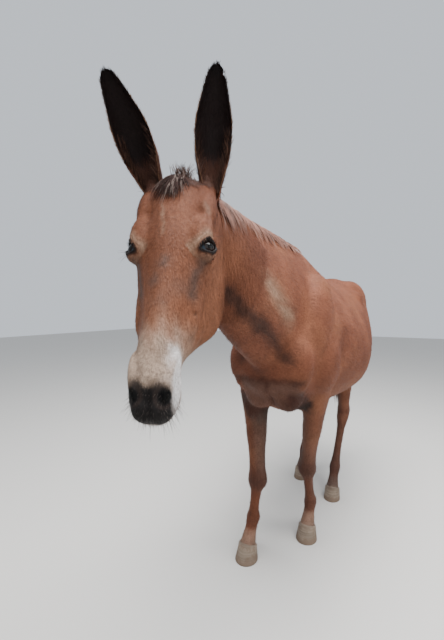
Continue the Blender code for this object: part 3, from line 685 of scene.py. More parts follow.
def eye_measures(points, side):
    """Distance outside the almond opening, how far up it the point lies, and nearness to the eye."""
    centre, looks, long, short = eye_axes(side)
    upward = upward_sign(short)
    away = points - np.array(centre)
    u = away @ np.array(long) / EYE_OPENING[0]
    v = away @ np.array(short) * upward / EYE_OPENING[1]
    pinch = 1 - LID_PINCH * np.minimum(np.abs(u), 1)
    radius = np.sqrt(u**2 + (v / pinch) ** 2)
    outside = (radius - 1) * (EYE_OPENING[0] + EYE_OPENING[1]) / 2
    facing = away @ np.array(looks) > 0
    close = (np.linalg.norm(away, axis=1) < 2.6 * EYE_RADIUS) & facing
    return outside, v / np.maximum(radius, 1e-6), u / np.maximum(radius, 1e-6), close


# %% [markdown]
# Three tables of brushes, and one set for each leg, now shape the skin: crests, veins and lips
# on the head, folds round the eyes, grooves of neck and breast, tendons and bones below.

# %% Sculpt the skin
HEAD_FORMS = [
    # height in metres, path on the head's left (S, A, N), width in metres
    (0.0028, [(0.074, 0.44, -0.085), (0.066, 0.60, -0.078), (0.052, 0.70, -0.075)], 0.010),
    (-0.0022, [(0.080, 0.43, -0.055), (0.066, 0.55, -0.050), (0.052, 0.68, -0.045)], 0.012),
    (0.0014, [(0.050, 0.80, -0.070), (0.058, 0.64, -0.085), (0.070, 0.56, -0.070)], 0.0035),
    (0.0012, [(0.058, 0.64, -0.085), (0.060, 0.60, -0.120), (0.066, 0.52, -0.170)], 0.0035),
    (0.0010, [(0.052, 0.52, -0.020), (0.046, 0.62, -0.024), (0.040, 0.72, -0.028)], 0.0030),
    (-0.0050, [(0.062, 0.190, -0.012), (0.068, 0.235, -0.016)], 0.017),
    (0.0025, [(0.040, 0.100, 0.004), (0.030, 0.200, 0.014)], 0.020),
    (-0.0030, [(0.046, 0.800, -0.090), (0.050, 0.840, -0.088)], 0.010),
    (0.0030, [(0.030, 0.880, -0.090), (0.036, 0.930, -0.090)], 0.012),
    (-0.0022, [(0.000, 0.900, -0.030), (0.000, 0.985, -0.052)], 0.006),
    (-0.0028, [(0.034, 0.910, -0.117), (0.040, 0.850, -0.117)], 0.006),
    (-0.0025, [(0.095, 0.360, -0.235), (0.080, 0.480, -0.215), (0.060, 0.560, -0.190)], 0.016),
]
SCAR = (0.067, 0.605, -0.077)
EYE_FOLDS = [
    # height, distance from the opening, width, 1 for above only, -1 for below, 0 for all round
    (0.0010, 0.0050, 0.0032, 0),
    (-0.0007, 0.0105, 0.0024, 1),
    (0.0006, 0.0160, 0.0045, 1),
    (-0.0004, 0.0220, 0.0028, 1),
    (0.0003, 0.0270, 0.0040, 1),
    (-0.0010, 0.0100, 0.0024, -1),
    (0.0008, 0.0145, 0.0035, -1),
    (-0.0006, 0.0195, 0.0024, -1),
]
NOSTRIL_PLACE = (0.0500, 0.940)
NOSTRIL_RADII = (0.0078, 0.0210, 0.0180)


def head_heights(points):
    """How far each point of the head is pushed out by its folds, crests, veins and hollows."""
    head = head_metres(points)
    height = np.zeros(len(points))
    for rise, path, width in HEAD_FORMS:
        for side in (1, -1):
            run = [(s * side, a * HEAD_LENGTH, n) for s, a, n in path]
            height += rise * near_path(head, run, width)
    height -= 0.0035 * near_point(head, both_sides(SCAR)[0], 0.0065)
    for side in (1, -1):
        outside, up, _, close = eye_measures(points, side)
        for rise, distance, width, where in EYE_FOLDS:
            share = ramp(up * where, -0.1, 0.5) if where else 1
            height += rise * share * close * np.exp(-(((outside - distance) / width) ** 2))
    return height * on_the_head(points)


BODY_FORMS = [
    # height, path on the left (X, Y, Z), width, 1 for left only, 0 for both sides
    (-0.0060, [(0.118, -0.780, 1.200), (0.105, -0.700, 1.040), (0.070, -0.675, 0.975)], 0.024, 0),
    (0.0040, [(0.090, -1.000, 1.200), (0.095, -0.800, 1.060), (0.075, -0.700, 0.985)], 0.024, 0),
    (-0.0090, [(0.000, -0.696, 0.941), (0.089, -0.678, 0.939), (0.154, -0.635, 0.926)], 0.014, 0),
    (-0.0100, [(0.014, -0.690, 0.930), (0.014, -0.640, 0.860), (0.014, -0.590, 0.790)], 0.011, 1),
    (-0.0040, [(0.205, -0.300, 1.330), (0.215, -0.280, 1.150), (0.225, -0.270, 0.960)], 0.030, 0),
    (0.0030, [(0.170, -0.500, 1.310), (0.175, -0.560, 1.150), (0.160, -0.630, 1.020)], 0.030, 0),
    (-0.0040, [(0.255, 0.380, 1.150), (0.235, 0.400, 0.960), (0.190, 0.400, 0.840)], 0.030, 0),
    (0.0022, [(0.060, -0.520, 0.720), (0.090, -0.300, 0.715), (0.140, 0.050, 0.745)], 0.006, 0),
]
RIBS = 9
RIB_HEIGHT = 0.0016


def body_heights(points):
    """How far the neck and trunk are pushed by muscles, hollows and the faint row of ribs."""
    height = np.zeros(len(points))
    for rise, path, width, only_left in BODY_FORMS:
        for side in (1,) if only_left else (1, -1):
            height += rise * near_path(points, np.array(path) * np.array([side, 1, 1]), width)
    for i in range(RIBS):
        y = -0.10 + 0.050 * i
        path = [(0.27, y - 0.03, 1.16), (0.29, y, 1.02), (0.26, y + 0.02, 0.88)]
        for side in (1, -1):
            height += RIB_HEIGHT * near_path(points, np.array(path) * np.array([side, 1, 1]), 0.012)
    return height


def leg_heights(points):
    """Tendons behind the cannons, the hollows beside them, and the bones of knee and hock."""
    height = np.zeros(len(points))
    for name in FEET:
        _, middle, fetlock, coronet = [np.array(j) for j in joints_of(name)]
        for side in (1, -1):
            groove = [middle + (side * 0.030, 0.016, -0.07), fetlock + (side * 0.030, 0.014, 0.045)]
            height -= 0.0045 * near_path(points, groove, 0.008)
            sesamoid = fetlock + (side * 0.026, 0.020, 0.004)
            height += 0.0028 * near_point(points, sesamoid, 0.014)
            bone = middle + (side * 0.034, -0.004, 0.022)
            height += 0.0030 * near_point(points, bone, 0.014)
            height -= 0.0025 * near_point(points, middle + (side * 0.034, 0.0, -0.012), 0.010)
        band = [coronet + (across, -0.03, 0.03) for across in (-0.03, 0.03)]
        height -= 0.0030 * near_path(points, band, 0.012)
    return height


places = points_of(skin)
push = head_heights(places) + body_heights(places) + leg_heights(places) - COAT_DEPTH
put_points(skin, places + normals_of(skin) * push[:, None])
print("folds from", round(push.min() * 1000, 1), "to", round(push.max() * 1000, 1), "mm")

# %% [markdown]
# An ear is a leaf rolled into a cup. Rings of points run round its outside and back round its
# inside, so the wall has a real thickness. A Boolean union joins it to the head, and a little
# smoothing at the join hides where.

# %% Ears
EAR_CUP = [
    # share of the length, half width, how far the cup wraps round, in degrees each way
    (0.00, 0.025, 140),
    (0.12, 0.030, 130),
    (0.25, 0.038, 113),
    (0.38, 0.0450, 100),
    (0.52, 0.0480, 92),
    (0.66, 0.0440, 88),
    (0.79, 0.0345, 85),
    (0.90, 0.0255, 82),
    (0.965, 0.0180, 80),
    (0.99, 0.0110, 79),
    (1.00, 0.0060, 78),
]
EARS = {
    # side: root on the head, the way the ear points and the way its cup opens
    1: ((0.080, 0.030, -0.050), (0.052, -0.012, 1.0), (0.62, -0.78, 0.0)),
    -1: ((0.066, 0.030, -0.050), (-0.225, -0.355, 1.0), (0.30, -0.95, 0.0)),
}
EAR_WALL = 0.0045
EAR_SUNK = 0.020
EAR_STEPS = 20
EAR_SQUASH = 0.75
EAR_CURL = 0.035


def ear_axes(side):
    """Base of an ear, the way it points, the way it opens, and the way across it."""
    root, points, opens = EARS[side]
    axis = Vector(points).normalized()
    front = Vector(opens)
    front = (front - axis * front.dot(axis)).normalized()
    base = on_head(root[0] * side, root[1], root[2]) - axis * EAR_SUNK
    return base, axis, front, axis.cross(front)


def ear_middle(base, axis, front, share):
    """The middle of the cup at a share of the ear's length, on its forward curl."""
    return base + axis * (share * (EAR_LENGTH + EAR_SUNK)) + front * EAR_CURL * share**2


def cup_at(share):
    """Half the width of an ear at a share of its length, and its wrap each way in radians."""
    shares, halves, wraps = zip(*EAR_CUP)
    return np.interp(share, shares, halves), math.radians(np.interp(share, shares, wraps))


def ear(side):
    """An ear with folded rims and a small torn notch near the tip of the left one."""
    base, axis, front, across = ear_axes(side)
    rings = []
    for share, half, wrap in catmull(EAR_CUP, 5):
        middle = ear_middle(base, axis, front, share)
        ripple = 1 + 0.02 * math.sin(23 * share) * math.sin(math.pi * share)
        notch = 0.30 * math.exp(-(((share - 0.945) / 0.012) ** 2)) if side == 1 else 0
        steps = [math.radians(wrap) * (k / EAR_STEPS * 2 - 1) for k in range(EAR_STEPS + 1)]
        wall = EAR_WALL * (1 - 0.45 * share)
        inside = max(half - wall, 0.35 * half)
        outer, inner = [], []
        for a in steps:
            edge = abs(a) / math.radians(wrap)
            trim = 1 - (notch if a > 0 else 0) * edge**4
            reach = half * ripple * trim
            depth = reach * EAR_SQUASH
            outer.append(middle + across * reach * math.sin(a) - front * depth * math.cos(a))
            reach = inside * ripple * trim * (1 + 0.03 * edge**6)
            depth = reach * EAR_SQUASH
            inner.append(middle + across * reach * math.sin(a) - front * depth * math.cos(a))
        rings.append(outer + inner[::-1])
    return loft("ear", rings)


def booled(obj, tools, operation, solver="MANIFOLD"):
    """The object with the tools added or taken away; the tools are removed."""
    group = bpy.data.collections.new("tools")
    for tool in tools:
        group.objects.link(tool)
    step = obj.modifiers.new("boolean", "BOOLEAN")
    step.operation = operation
    step.operand_type = "COLLECTION"
    step.collection = group
    step.solver = solver
    made = evaluated(obj)
    for tool in tools:
        bpy.data.objects.remove(tool)
    bpy.data.collections.remove(group)
    return made


def relaxed(obj, weights, rounds):
    """Draws points towards the mean of their neighbours where the weights say so."""
    edges = np.empty(len(obj.data.edges) * 2, np.int32)
    obj.data.edges.foreach_get("vertices", edges)
    edges = edges.reshape(-1, 2)
    keep = (weights[edges[:, 0]] > 0) | (weights[edges[:, 1]] > 0)
    edges = edges[keep]
    points = points_of(obj)
    count = np.bincount(edges.ravel(), minlength=len(points))[:, None]
    for _ in range(rounds):
        total = np.zeros_like(points)
        np.add.at(total, edges[:, 0], points[edges[:, 1]])
        np.add.at(total, edges[:, 1], points[edges[:, 0]])
        mean = np.where(count > 0, total / np.maximum(count, 1), points)
        points += (mean - points) * 0.6 * weights[:, None]
    put_points(obj, points)


skin = booled(skin, [ear(1), ear(-1)], "UNION")
places = points_of(skin)
join = np.zeros(len(places))
for side in (1, -1):
    base, axis = ear_axes(side)[:2]
    rise = (places - np.array(base)) @ np.array(axis)
    away = places - np.array(base) - rise[:, None] * np.array(axis)
    flat = np.linalg.norm(away, axis=1)
    join = np.maximum(join, ramp(flat, 0.055, 0.035) * ramp(rise, 0.058, 0.040) * ramp(rise, -0.02, 0.0))
relaxed(skin, join, 10)
print("with ears", len(skin.data.polygons), "faces")

# %% [markdown]
# The openings of the head are cut last: an almond between the lids with a socket behind it,
# nostrils like commas, and the line of the mouth. Then a soft rim goes round each eye.

# %% Eyes, nostrils and mouth are cut
MOUTH_CORNER = 0.80
LIP_LINE = -0.102
LIP_GAP = 0.0022
GAP = 0.0003
LID_ROUND = 0.0265
RIM = 0.0027


def almond(grow, count=48):
    """(long, short) offsets round the opening of an eye."""
    found = []
    for i in range(count):
        a = 2 * math.pi * i / count
        u, v = math.cos(a), math.sin(a)
        found.append((u * EYE_OPENING[0] * grow, v * (1 - LID_PINCH * abs(u)) * EYE_OPENING[1] * grow))
    return found


def eye_cutters(side):
    """The socket round an eyeball and the opening between its lids."""
    centre, looks, long, short = eye_axes(side)
    turn = Matrix((long, short, looks)).transposed().to_4x4()
    socket = ball("socket", centre, (EYE_RADIUS + GAP,) * 3, turn, 48)
    rings = []
    for reach, grow in ((0.0, 1.0), (0.060, 1.15)):
        rings.append([centre + looks * reach + long * x + short * y for x, y in almond(grow)])
    return [socket, loft("opening", rings)]


def lid_rim(side):
    """A soft rim round the opening, thicker above, that closes the lids onto the eyeball."""
    centre, looks, long, short = eye_axes(side)
    upward = upward_sign(short)
    path = []
    for x, y in almond(0.99):
        out = math.sqrt(LID_ROUND**2 - x**2 - y**2)
        path.append((centre + long * x + short * y + looks * out, y * upward / EYE_OPENING[1]))
    points, faces = [], []
    sides = 10
    for i, (where, up) in enumerate(path):
        ahead = (path[(i + 1) % len(path)][0] - path[i - 1][0]).normalized()
        out = (where - centre).normalized()
        side_way = ahead.cross(out).normalized()
        radius = RIM * (1 + 0.35 * max(0.0, up))
        for j in range(sides):
            a = 2 * math.pi * j / sides
            points.append(where + out * radius * math.cos(a) + side_way * radius * 0.9 * math.sin(a))
    for i in range(len(path)):
        k = (i + 1) % len(path)
        for j in range(sides):
            m = (j + 1) % sides
            faces.append((i * sides + j, i * sides + m, k * sides + m, k * sides + j))
    made = mesh_object("rim", points, faces)
    face_out(made.data)
    return made


def nostril_cutters(around):
    """Comma-shaped hollows, set where a ray from the front meets the nose."""
    made = []
    for side in (1, -1):
        lean = Matrix.Rotation(math.radians(-14 * side), 4, "Z")
        roll = Matrix.Rotation(math.radians(38 * side), 4, "Y")
        aim = on_head(0.0, NOSTRIL_PLACE[1], -0.085)
        start = on_head(NOSTRIL_PLACE[0] * side * 2.2, NOSTRIL_PLACE[1], 0.045)
        where = around.ray_cast(start, (aim - start).normalized())[0]
        made.append(ball("nostril", where, NOSTRIL_RADII, HEAD_TURN @ lean @ roll, 32))
    return made


def surface(obj):
    """A search tree over the object's faces."""
    mesh = obj.data
    return BVHTree.FromPolygons([v.co[:] for v in mesh.vertices], [p.vertices[:] for p in mesh.polygons])


uncut = surface(skin)
slit = []
for share in (MOUTH_CORNER, 1.10):
    corners = ((-0.09, 0), (0.09, 0), (0.09, LIP_GAP), (-0.09, LIP_GAP))
    slit.append([on_head(x, share, LIP_LINE + out) for x, out in corners])
nostrils = nostril_cutters(uncut)
nostril_middles = []
for hollow in nostrils:
    rim = [v.co for v in hollow.data.vertices]
    nostril_middles.append(np.array(sum(rim, Vector()) / len(rim)))
skin = booled(skin, nostrils + [loft("mouth", slit)], "DIFFERENCE")
skin = booled(skin, eye_cutters(1) + eye_cutters(-1), "DIFFERENCE")
skin = booled(skin, [lid_rim(1), lid_rim(-1)], "UNION")
print("opened skin", len(skin.data.polygons), "faces")

# %% [markdown]
# The colours are worked out once, in plain arithmetic, as a function of place. Skin and tufts
# both ask it, so a pale patch is pale down to the roots. All colours are linear RGB.

# %% Colours of the coat
RED = (0.180, 0.063, 0.033)
DEEP_RED = (0.105, 0.032, 0.017)
GOLD = (0.255, 0.104, 0.050)
CREAM = (0.360, 0.255, 0.175)
ASH = (0.400, 0.300, 0.225)
WHITE = (0.600, 0.580, 0.570)
SMOKE = (0.085, 0.060, 0.050)
SOOT = (0.0050, 0.0040, 0.0040)
NOSE = (0.0065, 0.0052, 0.0052)
UMBER = (0.036, 0.016, 0.011)
PUTTY = (0.092, 0.058, 0.045)
PLUM = (0.042, 0.018, 0.015)
SAND = (0.270, 0.165, 0.115)
EAR_DARK = (0.0028, 0.0018, 0.0024)
DUST = (0.190, 0.140, 0.105)


def wobble(points, scale, seed):
    """Smooth noise from a few waves in seeded directions, about -1 to 1."""
    draw = np.random.default_rng(seed)
    total = np.zeros(len(points))
    for _ in range(6):
        way = draw.normal(size=3)
        way *= draw.uniform(0.6, 1.6) / np.linalg.norm(way) / scale
        total += np.sin(points @ way * 2 * math.pi + draw.uniform(0, 6.28))
    return total / 3


def raggedness(points, scale, reach, seeds):
    """A soft push at each point, so that the edge of a marking isn't a clean line."""
    return reach * np.stack([wobble(points, scale, seed) for seed in seeds], 1)


def tinted(colours, tint, share):
    """Colours moved towards a tint by a share at each point."""
    share = np.clip(share, 0, 1)[:, None]
    return colours * (1 - share) + np.array(tint) * share


def paired(points, path, width):
    """Nearness to a path given on the left, and to its mirror image."""
    other = np.array(path) * np.array([-1, 1, 1])
    return np.maximum(near_path(points, path, width), near_path(points, other, width))


# %% [markdown]
# First the trunk: a darker topline, painted shade down the groove of the neck with a pale painted
# highlight beside it, grey-brown breast, and near-black where the forelegs leave the chest.

# %% Paint the body


def body_colours(points):
    """Colours of neck, trunk and tail."""
    x, y, z = points.T
    drift = wobble(points, 0.30, 1)
    colours = np.tile(np.array(RED), (len(points), 1))
    colours = tinted(colours, GOLD, 0.30 * ramp(drift, 0.0, 1.0) + 0.25 * ramp(z, 1.0, 0.75))
    colours = tinted(colours, DEEP_RED, 0.35 * ramp(drift, -0.1, -1.0))
    colours = tinted(colours, DEEP_RED, 0.35 * ramp(np.abs(x), 0.05, 0.0) * ramp(z, 1.30, 1.40))
    soft = points + raggedness(points, 0.05, 0.008, (4, 5, 6))
    shaded = ramp(y, -0.95, -1.10) * ramp(z, 1.50, 1.36)
    colours = tinted(colours, DEEP_RED, 0.55 * shaded)
    # painted highlight: a pale sheen, in cream, on the neck beside the groove
    patch = [(0.100, -0.938, 1.343), (0.106, -0.870, 1.291), (0.112, -0.803, 1.252), (0.117, -0.708, 1.187)]
    colours = tinted(colours, CREAM, 0.42 * paired(soft, patch, 0.022))
    colours = tinted(colours, CREAM, 0.30 * paired(soft, patch[1:], 0.042))
    # partly the throat's own darker colour, partly painted shade under the neck
    throat = [(0.0, -1.060, 1.170), (0.0, -0.880, 1.050), (0.0, -0.690, 0.960)]
    colours = tinted(colours, UMBER, 0.45 * near_path(soft, throat, 0.040))
    breast = ramp(z, 0.945, 0.925) * ramp(y, -0.53, -0.58) * ramp(np.abs(x - 0.014), 0.135, 0.112)
    colours = tinted(colours, PUTTY, 0.85 * breast)
    # painted shade in the crease above the breast and in the cleft between its two halves
    crease_shade = [(0.0, -0.696, 0.941), (0.089, -0.678, 0.939), (0.154, -0.635, 0.926)]
    colours = tinted(colours, UMBER, 0.85 * paired(points, crease_shade, 0.013))
    colours = tinted(colours, UMBER, 0.75 * breast * ramp(np.abs(x - 0.014), 0.013, 0.002))
    for pit in (
        [(-0.085, -0.470, 0.740), (-0.105, -0.520, 0.755), (-0.125, -0.545, 0.795), (-0.140, -0.552, 0.820)],
        [(0.112, -0.600, 0.845), (0.112, -0.530, 0.815), (0.100, -0.450, 0.790), (0.074, -0.393, 0.765)],
    ):
        colours = tinted(colours, SOOT, 0.97 * np.minimum(1, 1.8 * near_path(soft, pit, 0.042)))
    # painted shade: the lower front of the chest and forearms darker towards the bottom
    colours = tinted(colours, DEEP_RED, 0.40 * ramp(z, 1.05, 0.85) * ramp(y, -0.35, -0.50))
    # painted shade under the belly
    belly = ramp(z, 0.80, 0.70) * ramp(np.abs(x), 0.16, 0.05) * (y > -0.6)
    colours = tinted(colours, SMOKE, 0.45 * belly)
    under_tail = ramp(y, 0.84, 0.90) * ramp(z, 1.25, 1.10) * ramp(np.abs(x), 0.07, 0.03)
    return tinted(colours, UMBER, 0.6 * under_tail)


def painted_groove_shade(points, colours):
    """Painted shade: a dark band down the groove of the neck, from behind the jaw to the chest."""
    soft = points + raggedness(points, 0.05, 0.008, (4, 5, 6))
    upper = [(0.050, -1.068, 1.268), (0.069, -1.011, 1.217), (0.085, -0.893, 1.161)]
    lower = [(0.085, -0.893, 1.161), (0.087, -0.765, 1.097), (0.096, -0.690, 1.030)]
    # painted shade: faint and wide round the groove, then dark and narrow in it
    colours = tinted(colours, DEEP_RED, 0.45 * paired(soft, upper + lower[1:], 0.075))
    colours = tinted(colours, UMBER, 0.86 * paired(soft, upper, 0.026))
    return tinted(colours, UMBER, 0.84 * paired(soft, lower, 0.028))


# %% [markdown]
# Sorrel mules often have darker knees and fetlocks. Below them these legs fade to a sandy
# pastern, with dust at the hoof and a horny chestnut on the inside.

# %% Paint the legs


def leg_colours(points, colours):
    """Dark knees and fetlocks, pale pasterns, grey inside the forearm, dust above the hoof."""
    for name in FEET:
        side = FEET[name]["side"]
        fore = name.startswith("fore")
        root, middle, fetlock, coronet = [np.array(j) for j in joints_of(name)]
        mine = near_path(points, [root, middle, fetlock, coronet], 0.12) > 0.10
        below = mine & (points[:, 2] < root[2] - 0.12)
        soft = points + raggedness(points, 0.04, 0.006, (7, 8, 9))
        inner = ramp((points[:, 0] - middle[0]) * side, 0.012, -0.030)
        share = inner * ramp(points[:, 2], middle[2] - 0.02, middle[2] + 0.08) * below
        colours = tinted(colours, PUTTY, 0.55 * share * ramp(points[:, 2], 0.82, 0.72))
        shade = near_point(soft, middle + (0, -0.010, 0.0), (0.060, 0.060, 0.055)) * mine
        colours = tinted(colours, PLUM, (0.92 if fore else 0.60) * shade)
        cannon = ramp(soft[:, 2], middle[2] - 0.02, middle[2] - 0.09) * below
        colours = tinted(colours, DEEP_RED if fore else PLUM, 0.45 * cannon)
        joint = near_point(soft, fetlock, (0.060, 0.060, 0.045)) * mine
        colours = tinted(colours, PLUM, (0.45 if fore else 0.75) * joint)
        pale = ramp(soft[:, 2], fetlock[2] - 0.020, fetlock[2] - 0.045) * below
        colours = tinted(colours, SAND if fore else PUTTY, 0.75 * pale)
        dusty = ramp(soft[:, 2], 0.110, 0.070) * below
        colours = tinted(colours, DUST, 0.60 * dusty)
        chestnut = middle + ((-side * 0.045, 0.012, 0.100) if fore else (-side * 0.040, 0.010, -0.060))
        colours = tinted(colours, UMBER, 0.9 * near_point(points, chestnut, (0.022, 0.010, 0.022)))
    return colours


# %% [markdown]
# The head is the animal's sign: a mealy muzzle, white on its left side, a sooty nose between
# the nostrils, pale rings round the eyes with dark lids, and grey wrinkles below them.

# %% Paint the head


def head_colours(points, colours):
    """Colours of the head, laid over those of the neck."""
    head = head_metres(points)
    s, a, n = head_places(points).T
    grain = wobble(points, 0.045, 11)
    soft = head + raggedness(points, 0.03, 0.004, (12, 13, 14))
    on = on_the_head(points)
    colours = tinted(colours, GOLD, on * (0.30 + 0.20 * ramp(-n, 0.04, 0.14) + 0.15 * ramp(a, 0.45, 0.65)))
    colours = tinted(colours, DEEP_RED, on * 0.45 * ramp(-n, 0.20, 0.30))
    colours = tinted(colours, DEEP_RED, on * 0.60 * ramp(a, 0.34, 0.04))
    brow = [(-0.020, 0.106, 0.007), (-0.014, 0.147, 0.008), (-0.008, 0.189, 0.007)]
    colours = tinted(colours, CREAM, on * 0.30 * near_path(soft, brow, 0.0050))
    ear_line = [(0.074, 0.085, -0.006), (0.090, 0.112, -0.019)]
    colours = tinted(colours, ASH, on * 0.22 * near_path(soft, ear_line, 0.006))
    for s0, a0, n0, radius, share in (
        (0.003, 0.447, 0.001, 0.017, 0.62),
        (-0.015, 0.521, -0.008, 0.017, 0.60),
        (0.005, 0.608, -0.010, 0.022, 0.34),
        (0.040, 0.540, -0.020, 0.026, 0.40),
    ):
        spot = near_point(soft, (s0, a0 * HEAD_LENGTH, n0), radius)
        colours = tinted(colours, SMOKE, on * share * spot)
    for side in (1, -1):
        outside, up, _, close = eye_measures(points, side)
        ring = ramp(outside, 0.004, 0.012) * ramp(outside, 0.044, 0.014) * (0.45 + 0.55 * ramp(up, -0.3, 0.4))
        colours = tinted(colours, CREAM, on * close * (0.46 + 0.10 * grain) * ring)
        lids = ramp(outside, 0.0088, 0.0045) * close
        colours = tinted(colours, SOOT, on * 0.97 * lids)
        centre, looks, long, _ = eye_axes(side)
        corner = [np.array(centre + long * d + looks * 0.025) for d in (0.020, 0.036)]
        colours = tinted(colours, SOOT, on * 0.75 * near_path(points, corner, 0.006))
        below = [(0.082 * side, 0.236, -0.043), (0.067 * side, 0.271, -0.046), (0.060 * side, 0.312, -0.054)]
        colours = tinted(colours, SMOKE, on * 0.70 * near_path(soft, below, 0.017))
        # painted shade in a wrinkle below the eye
        crease_shade = [(0.090 * side, 0.232, -0.052), (0.084 * side, 0.244, -0.050)]
        colours = tinted(colours, SOOT, on * 0.45 * near_path(soft, crease_shade, 0.004))
    colours = tinted(colours, SOOT, 0.75 * near_point(head, both_sides(SCAR)[0], 0.0045))
    mealy = ramp(a + 0.018 * grain, 0.620, 0.840)
    colours = tinted(colours, ASH, on * 0.92 * mealy)
    colours = tinted(colours, PUTTY, on * 0.25 * mealy * ramp(grain, 0.1, 0.9))
    chin_side = ramp(-n, 0.055, 0.095) * ramp(a, 0.74, 0.86)
    colours = tinted(colours, WHITE, on * 0.55 * chin_side)
    blaze = [(0.046, 0.462, -0.048), (0.051, 0.512, -0.056), (0.049, 0.555, -0.068)]
    white = near_path(soft, blaze, 0.021) + ramp(s, 0.044, 0.052) * ramp(a, 0.80, 0.88)
    colours = tinted(colours, WHITE, on * 0.95 * white)
    nose = ramp(a + 0.012 * grain, 0.880, 0.925) * ramp(n, -0.102, -0.086) * ramp(s, 0.048, 0.040)
    nose *= ramp(s, -0.060, -0.045)
    colours = tinted(colours, NOSE, on * 0.995 * nose)
    specks = ramp(wobble(points, 0.006, 21) * wobble(points, 0.009, 22), 0.22, 0.5) * ramp(a, 0.82, 0.88)
    colours = tinted(colours, SMOKE, on * 0.55 * specks * (1 - nose) * ramp(n, -0.09, -0.06))
    # dark lip skin, with painted shade along the line of the mouth
    lips = [(x, share * HEAD_LENGTH, LIP_LINE) for x, share in ((-0.05, 0.82), (0, 1.0), (0.05, 0.82))]
    colours = tinted(colours, NOSE, on * 0.60 * near_path(head, lips, 0.006) * ramp(a, 0.78, 0.82))
    for middle in nostril_middles:
        near = near_point(points, middle, 0.021)
        # painted highlight: a lighter ring round each nostril stands for its lit rim; the near-black inside
        # the hollow is painted shade
        colours = tinted(colours, PUTTY, 0.16 * ramp(near, 0.15, 0.30) * ramp(near, 0.60, 0.40))
        colours = tinted(colours, (0.001, 0.001, 0.001), ramp(near, 0.55, 0.72))
    return colours


# %% [markdown]
# The ears are red-brown behind and nearly black inside. Which face is which follows from the
# normal, so the colour turns over exactly at the rim.

# %% Paint the ears


def ear_measures(points):
    """Per ear: share of its length, how far in front of its middle, across, and whether on it."""
    found = []
    for side in (1, -1):
        base, axis, front, across = [np.array(v) for v in ear_axes(side)]
        away = points - base
        share = (away @ axis - EAR_SUNK) / EAR_LENGTH
        ahead = away @ front - EAR_CURL * np.clip(share, 0, 1) ** 2
        aside = away @ across
        reach = np.sqrt((away**2).sum(1) - (away @ axis) ** 2 + 1e-12)
        on = (share > 0.04) & (reach < 0.085) & (head_places(points)[:, 2] > -0.2)
        found.append((share, ahead, aside, on, front))
    return found


def ear_colours(points, normals, colours):
    """Red-brown outside, nearly black within, with a thin tan rim."""
    for share, ahead, _, on, front in ear_measures(points):
        facing = normals @ front
        within = on * ramp(facing, -0.05, 0.35) * ramp(share, 0.10, 0.34)
        colours = tinted(colours, RED, on * 1.0 * ramp(share, 0.0, 0.1))
        colours = tinted(colours, DEEP_RED, on * 0.5 * ramp(share, 0.3, 0.9))
        # painted shade in the folds where the ears leave the head
        colours = tinted(colours, UMBER, 0.80 * on * ramp(facing, -0.3, 0.1) * ramp(share, 0.34, 0.12))
        colours = tinted(colours, EAR_DARK, 0.96 * within)
        edge = on * ramp(ahead, 0.012, 0.022) * ramp(np.abs(facing), 0.6, 0.1)
        colours = tinted(colours, GOLD, 0.35 * edge * ramp(share, 0.05, 0.4))
        colours = tinted(colours, EAR_DARK, 0.6 * on * ramp(share, 0.90, 0.98))
    return colours


def coat_colours(points, normals):
    """The colour of the coat at every point."""
    colours = body_colours(points)
    colours = leg_colours(points, colours)
    colours = painted_groove_shade(points, head_colours(points, colours))
    return np.clip(ear_colours(points, normals, colours), 0, 1)


places = points_of(skin)
tints = coat_colours(places, normals_of(skin))
print("mean colour of the coat", tints.mean(0).round(3))

# %% [markdown]
# Hair has a lie: back along the trunk, down the legs, down the face and up the ears. The same
# comb direction steers the tufts, the streaks of the colour and the grain of the bump.

# %% Comb, length and thickness of the coat


def comb_ways(points, normals):
    """The direction in which the hair lies at each point, in the plane of the skin."""
    x, _, z = points.T
    ways = np.tile([0.0, 1.0, -0.45], (len(points), 1))
    ways[:, 0] += 0.25 * np.sign(x)
    leg = ramp(z, 0.92, 0.74)[:, None]
    ways = ways * (1 - leg) + np.array([0, 0.12, -1.0]) * leg
    head = head_places(points)
    on = on_the_head(points)[:, None].astype(float)
    down = np.array(FACE_DOWN) - 0.35 * np.array(FACE_OUT)
    fan = np.array(LEFTWARD) * (np.clip(head[:, 0], -0.1, 0.1) * 3)[:, None]
    ways = ways * (1 - on) + (down + fan) * on
    for (share, _, _, lies, _), side in zip(ear_measures(points), (1, -1)):
        lies = (lies * ramp(share, 0.02, 0.10))[:, None]
        axis = np.array(ear_axes(side)[1])
        ways = ways * (1 - lies) + axis * lies
    ways -= normals * (ways * normals).sum(1)[:, None]
    return ways / np.maximum(np.linalg.norm(ways, axis=1), 1e-6)[:, None]


def coat_lengths(points, normals):
    """Length of the hair in metres: shortest on face and legs, longer where it hangs."""
    x, _, z = points.T
    head = head_places(points)
    on = on_the_head(points)
    length = np.full(len(points), 0.013)
    length = np.where(z < 0.60, 0.010, length)
    length = np.where(on, 0.0085, length)
    length = np.where(on & (head[:, 1] > 0.80), 0.0060, length)
    length = np.where(on & (head[:, 2] < -0.15) & (head[:, 1] < 0.5), 0.0130, length)
    length += 0.010 * near_path(points, [(-0.1, -0.65, 0.80), (0.1, -0.65, 0.80)], 0.07)
    length += 0.006 * ramp(z, 0.78, 0.70) * (np.abs(x) < 0.2)
    length += 0.014 * ramp(z, 0.100, 0.080)
    for name in FEET:
        fetlock = np.array(joints_of(name)[2])
        length += 0.016 * near_point(points, fetlock + (0, 0.040, -0.010), 0.028)
    for share, _, _, lies, front in ear_measures(points):
        within = lies * ramp(normals @ front, 0.0, 0.4)
        length = np.where(within * ramp(share, 0.60, 0.20) > 0.2, 0.024, length)
        length = np.where(lies & (within <= 0.2), 0.009, length)
    return length


INSIDE_HOOF = 0.055


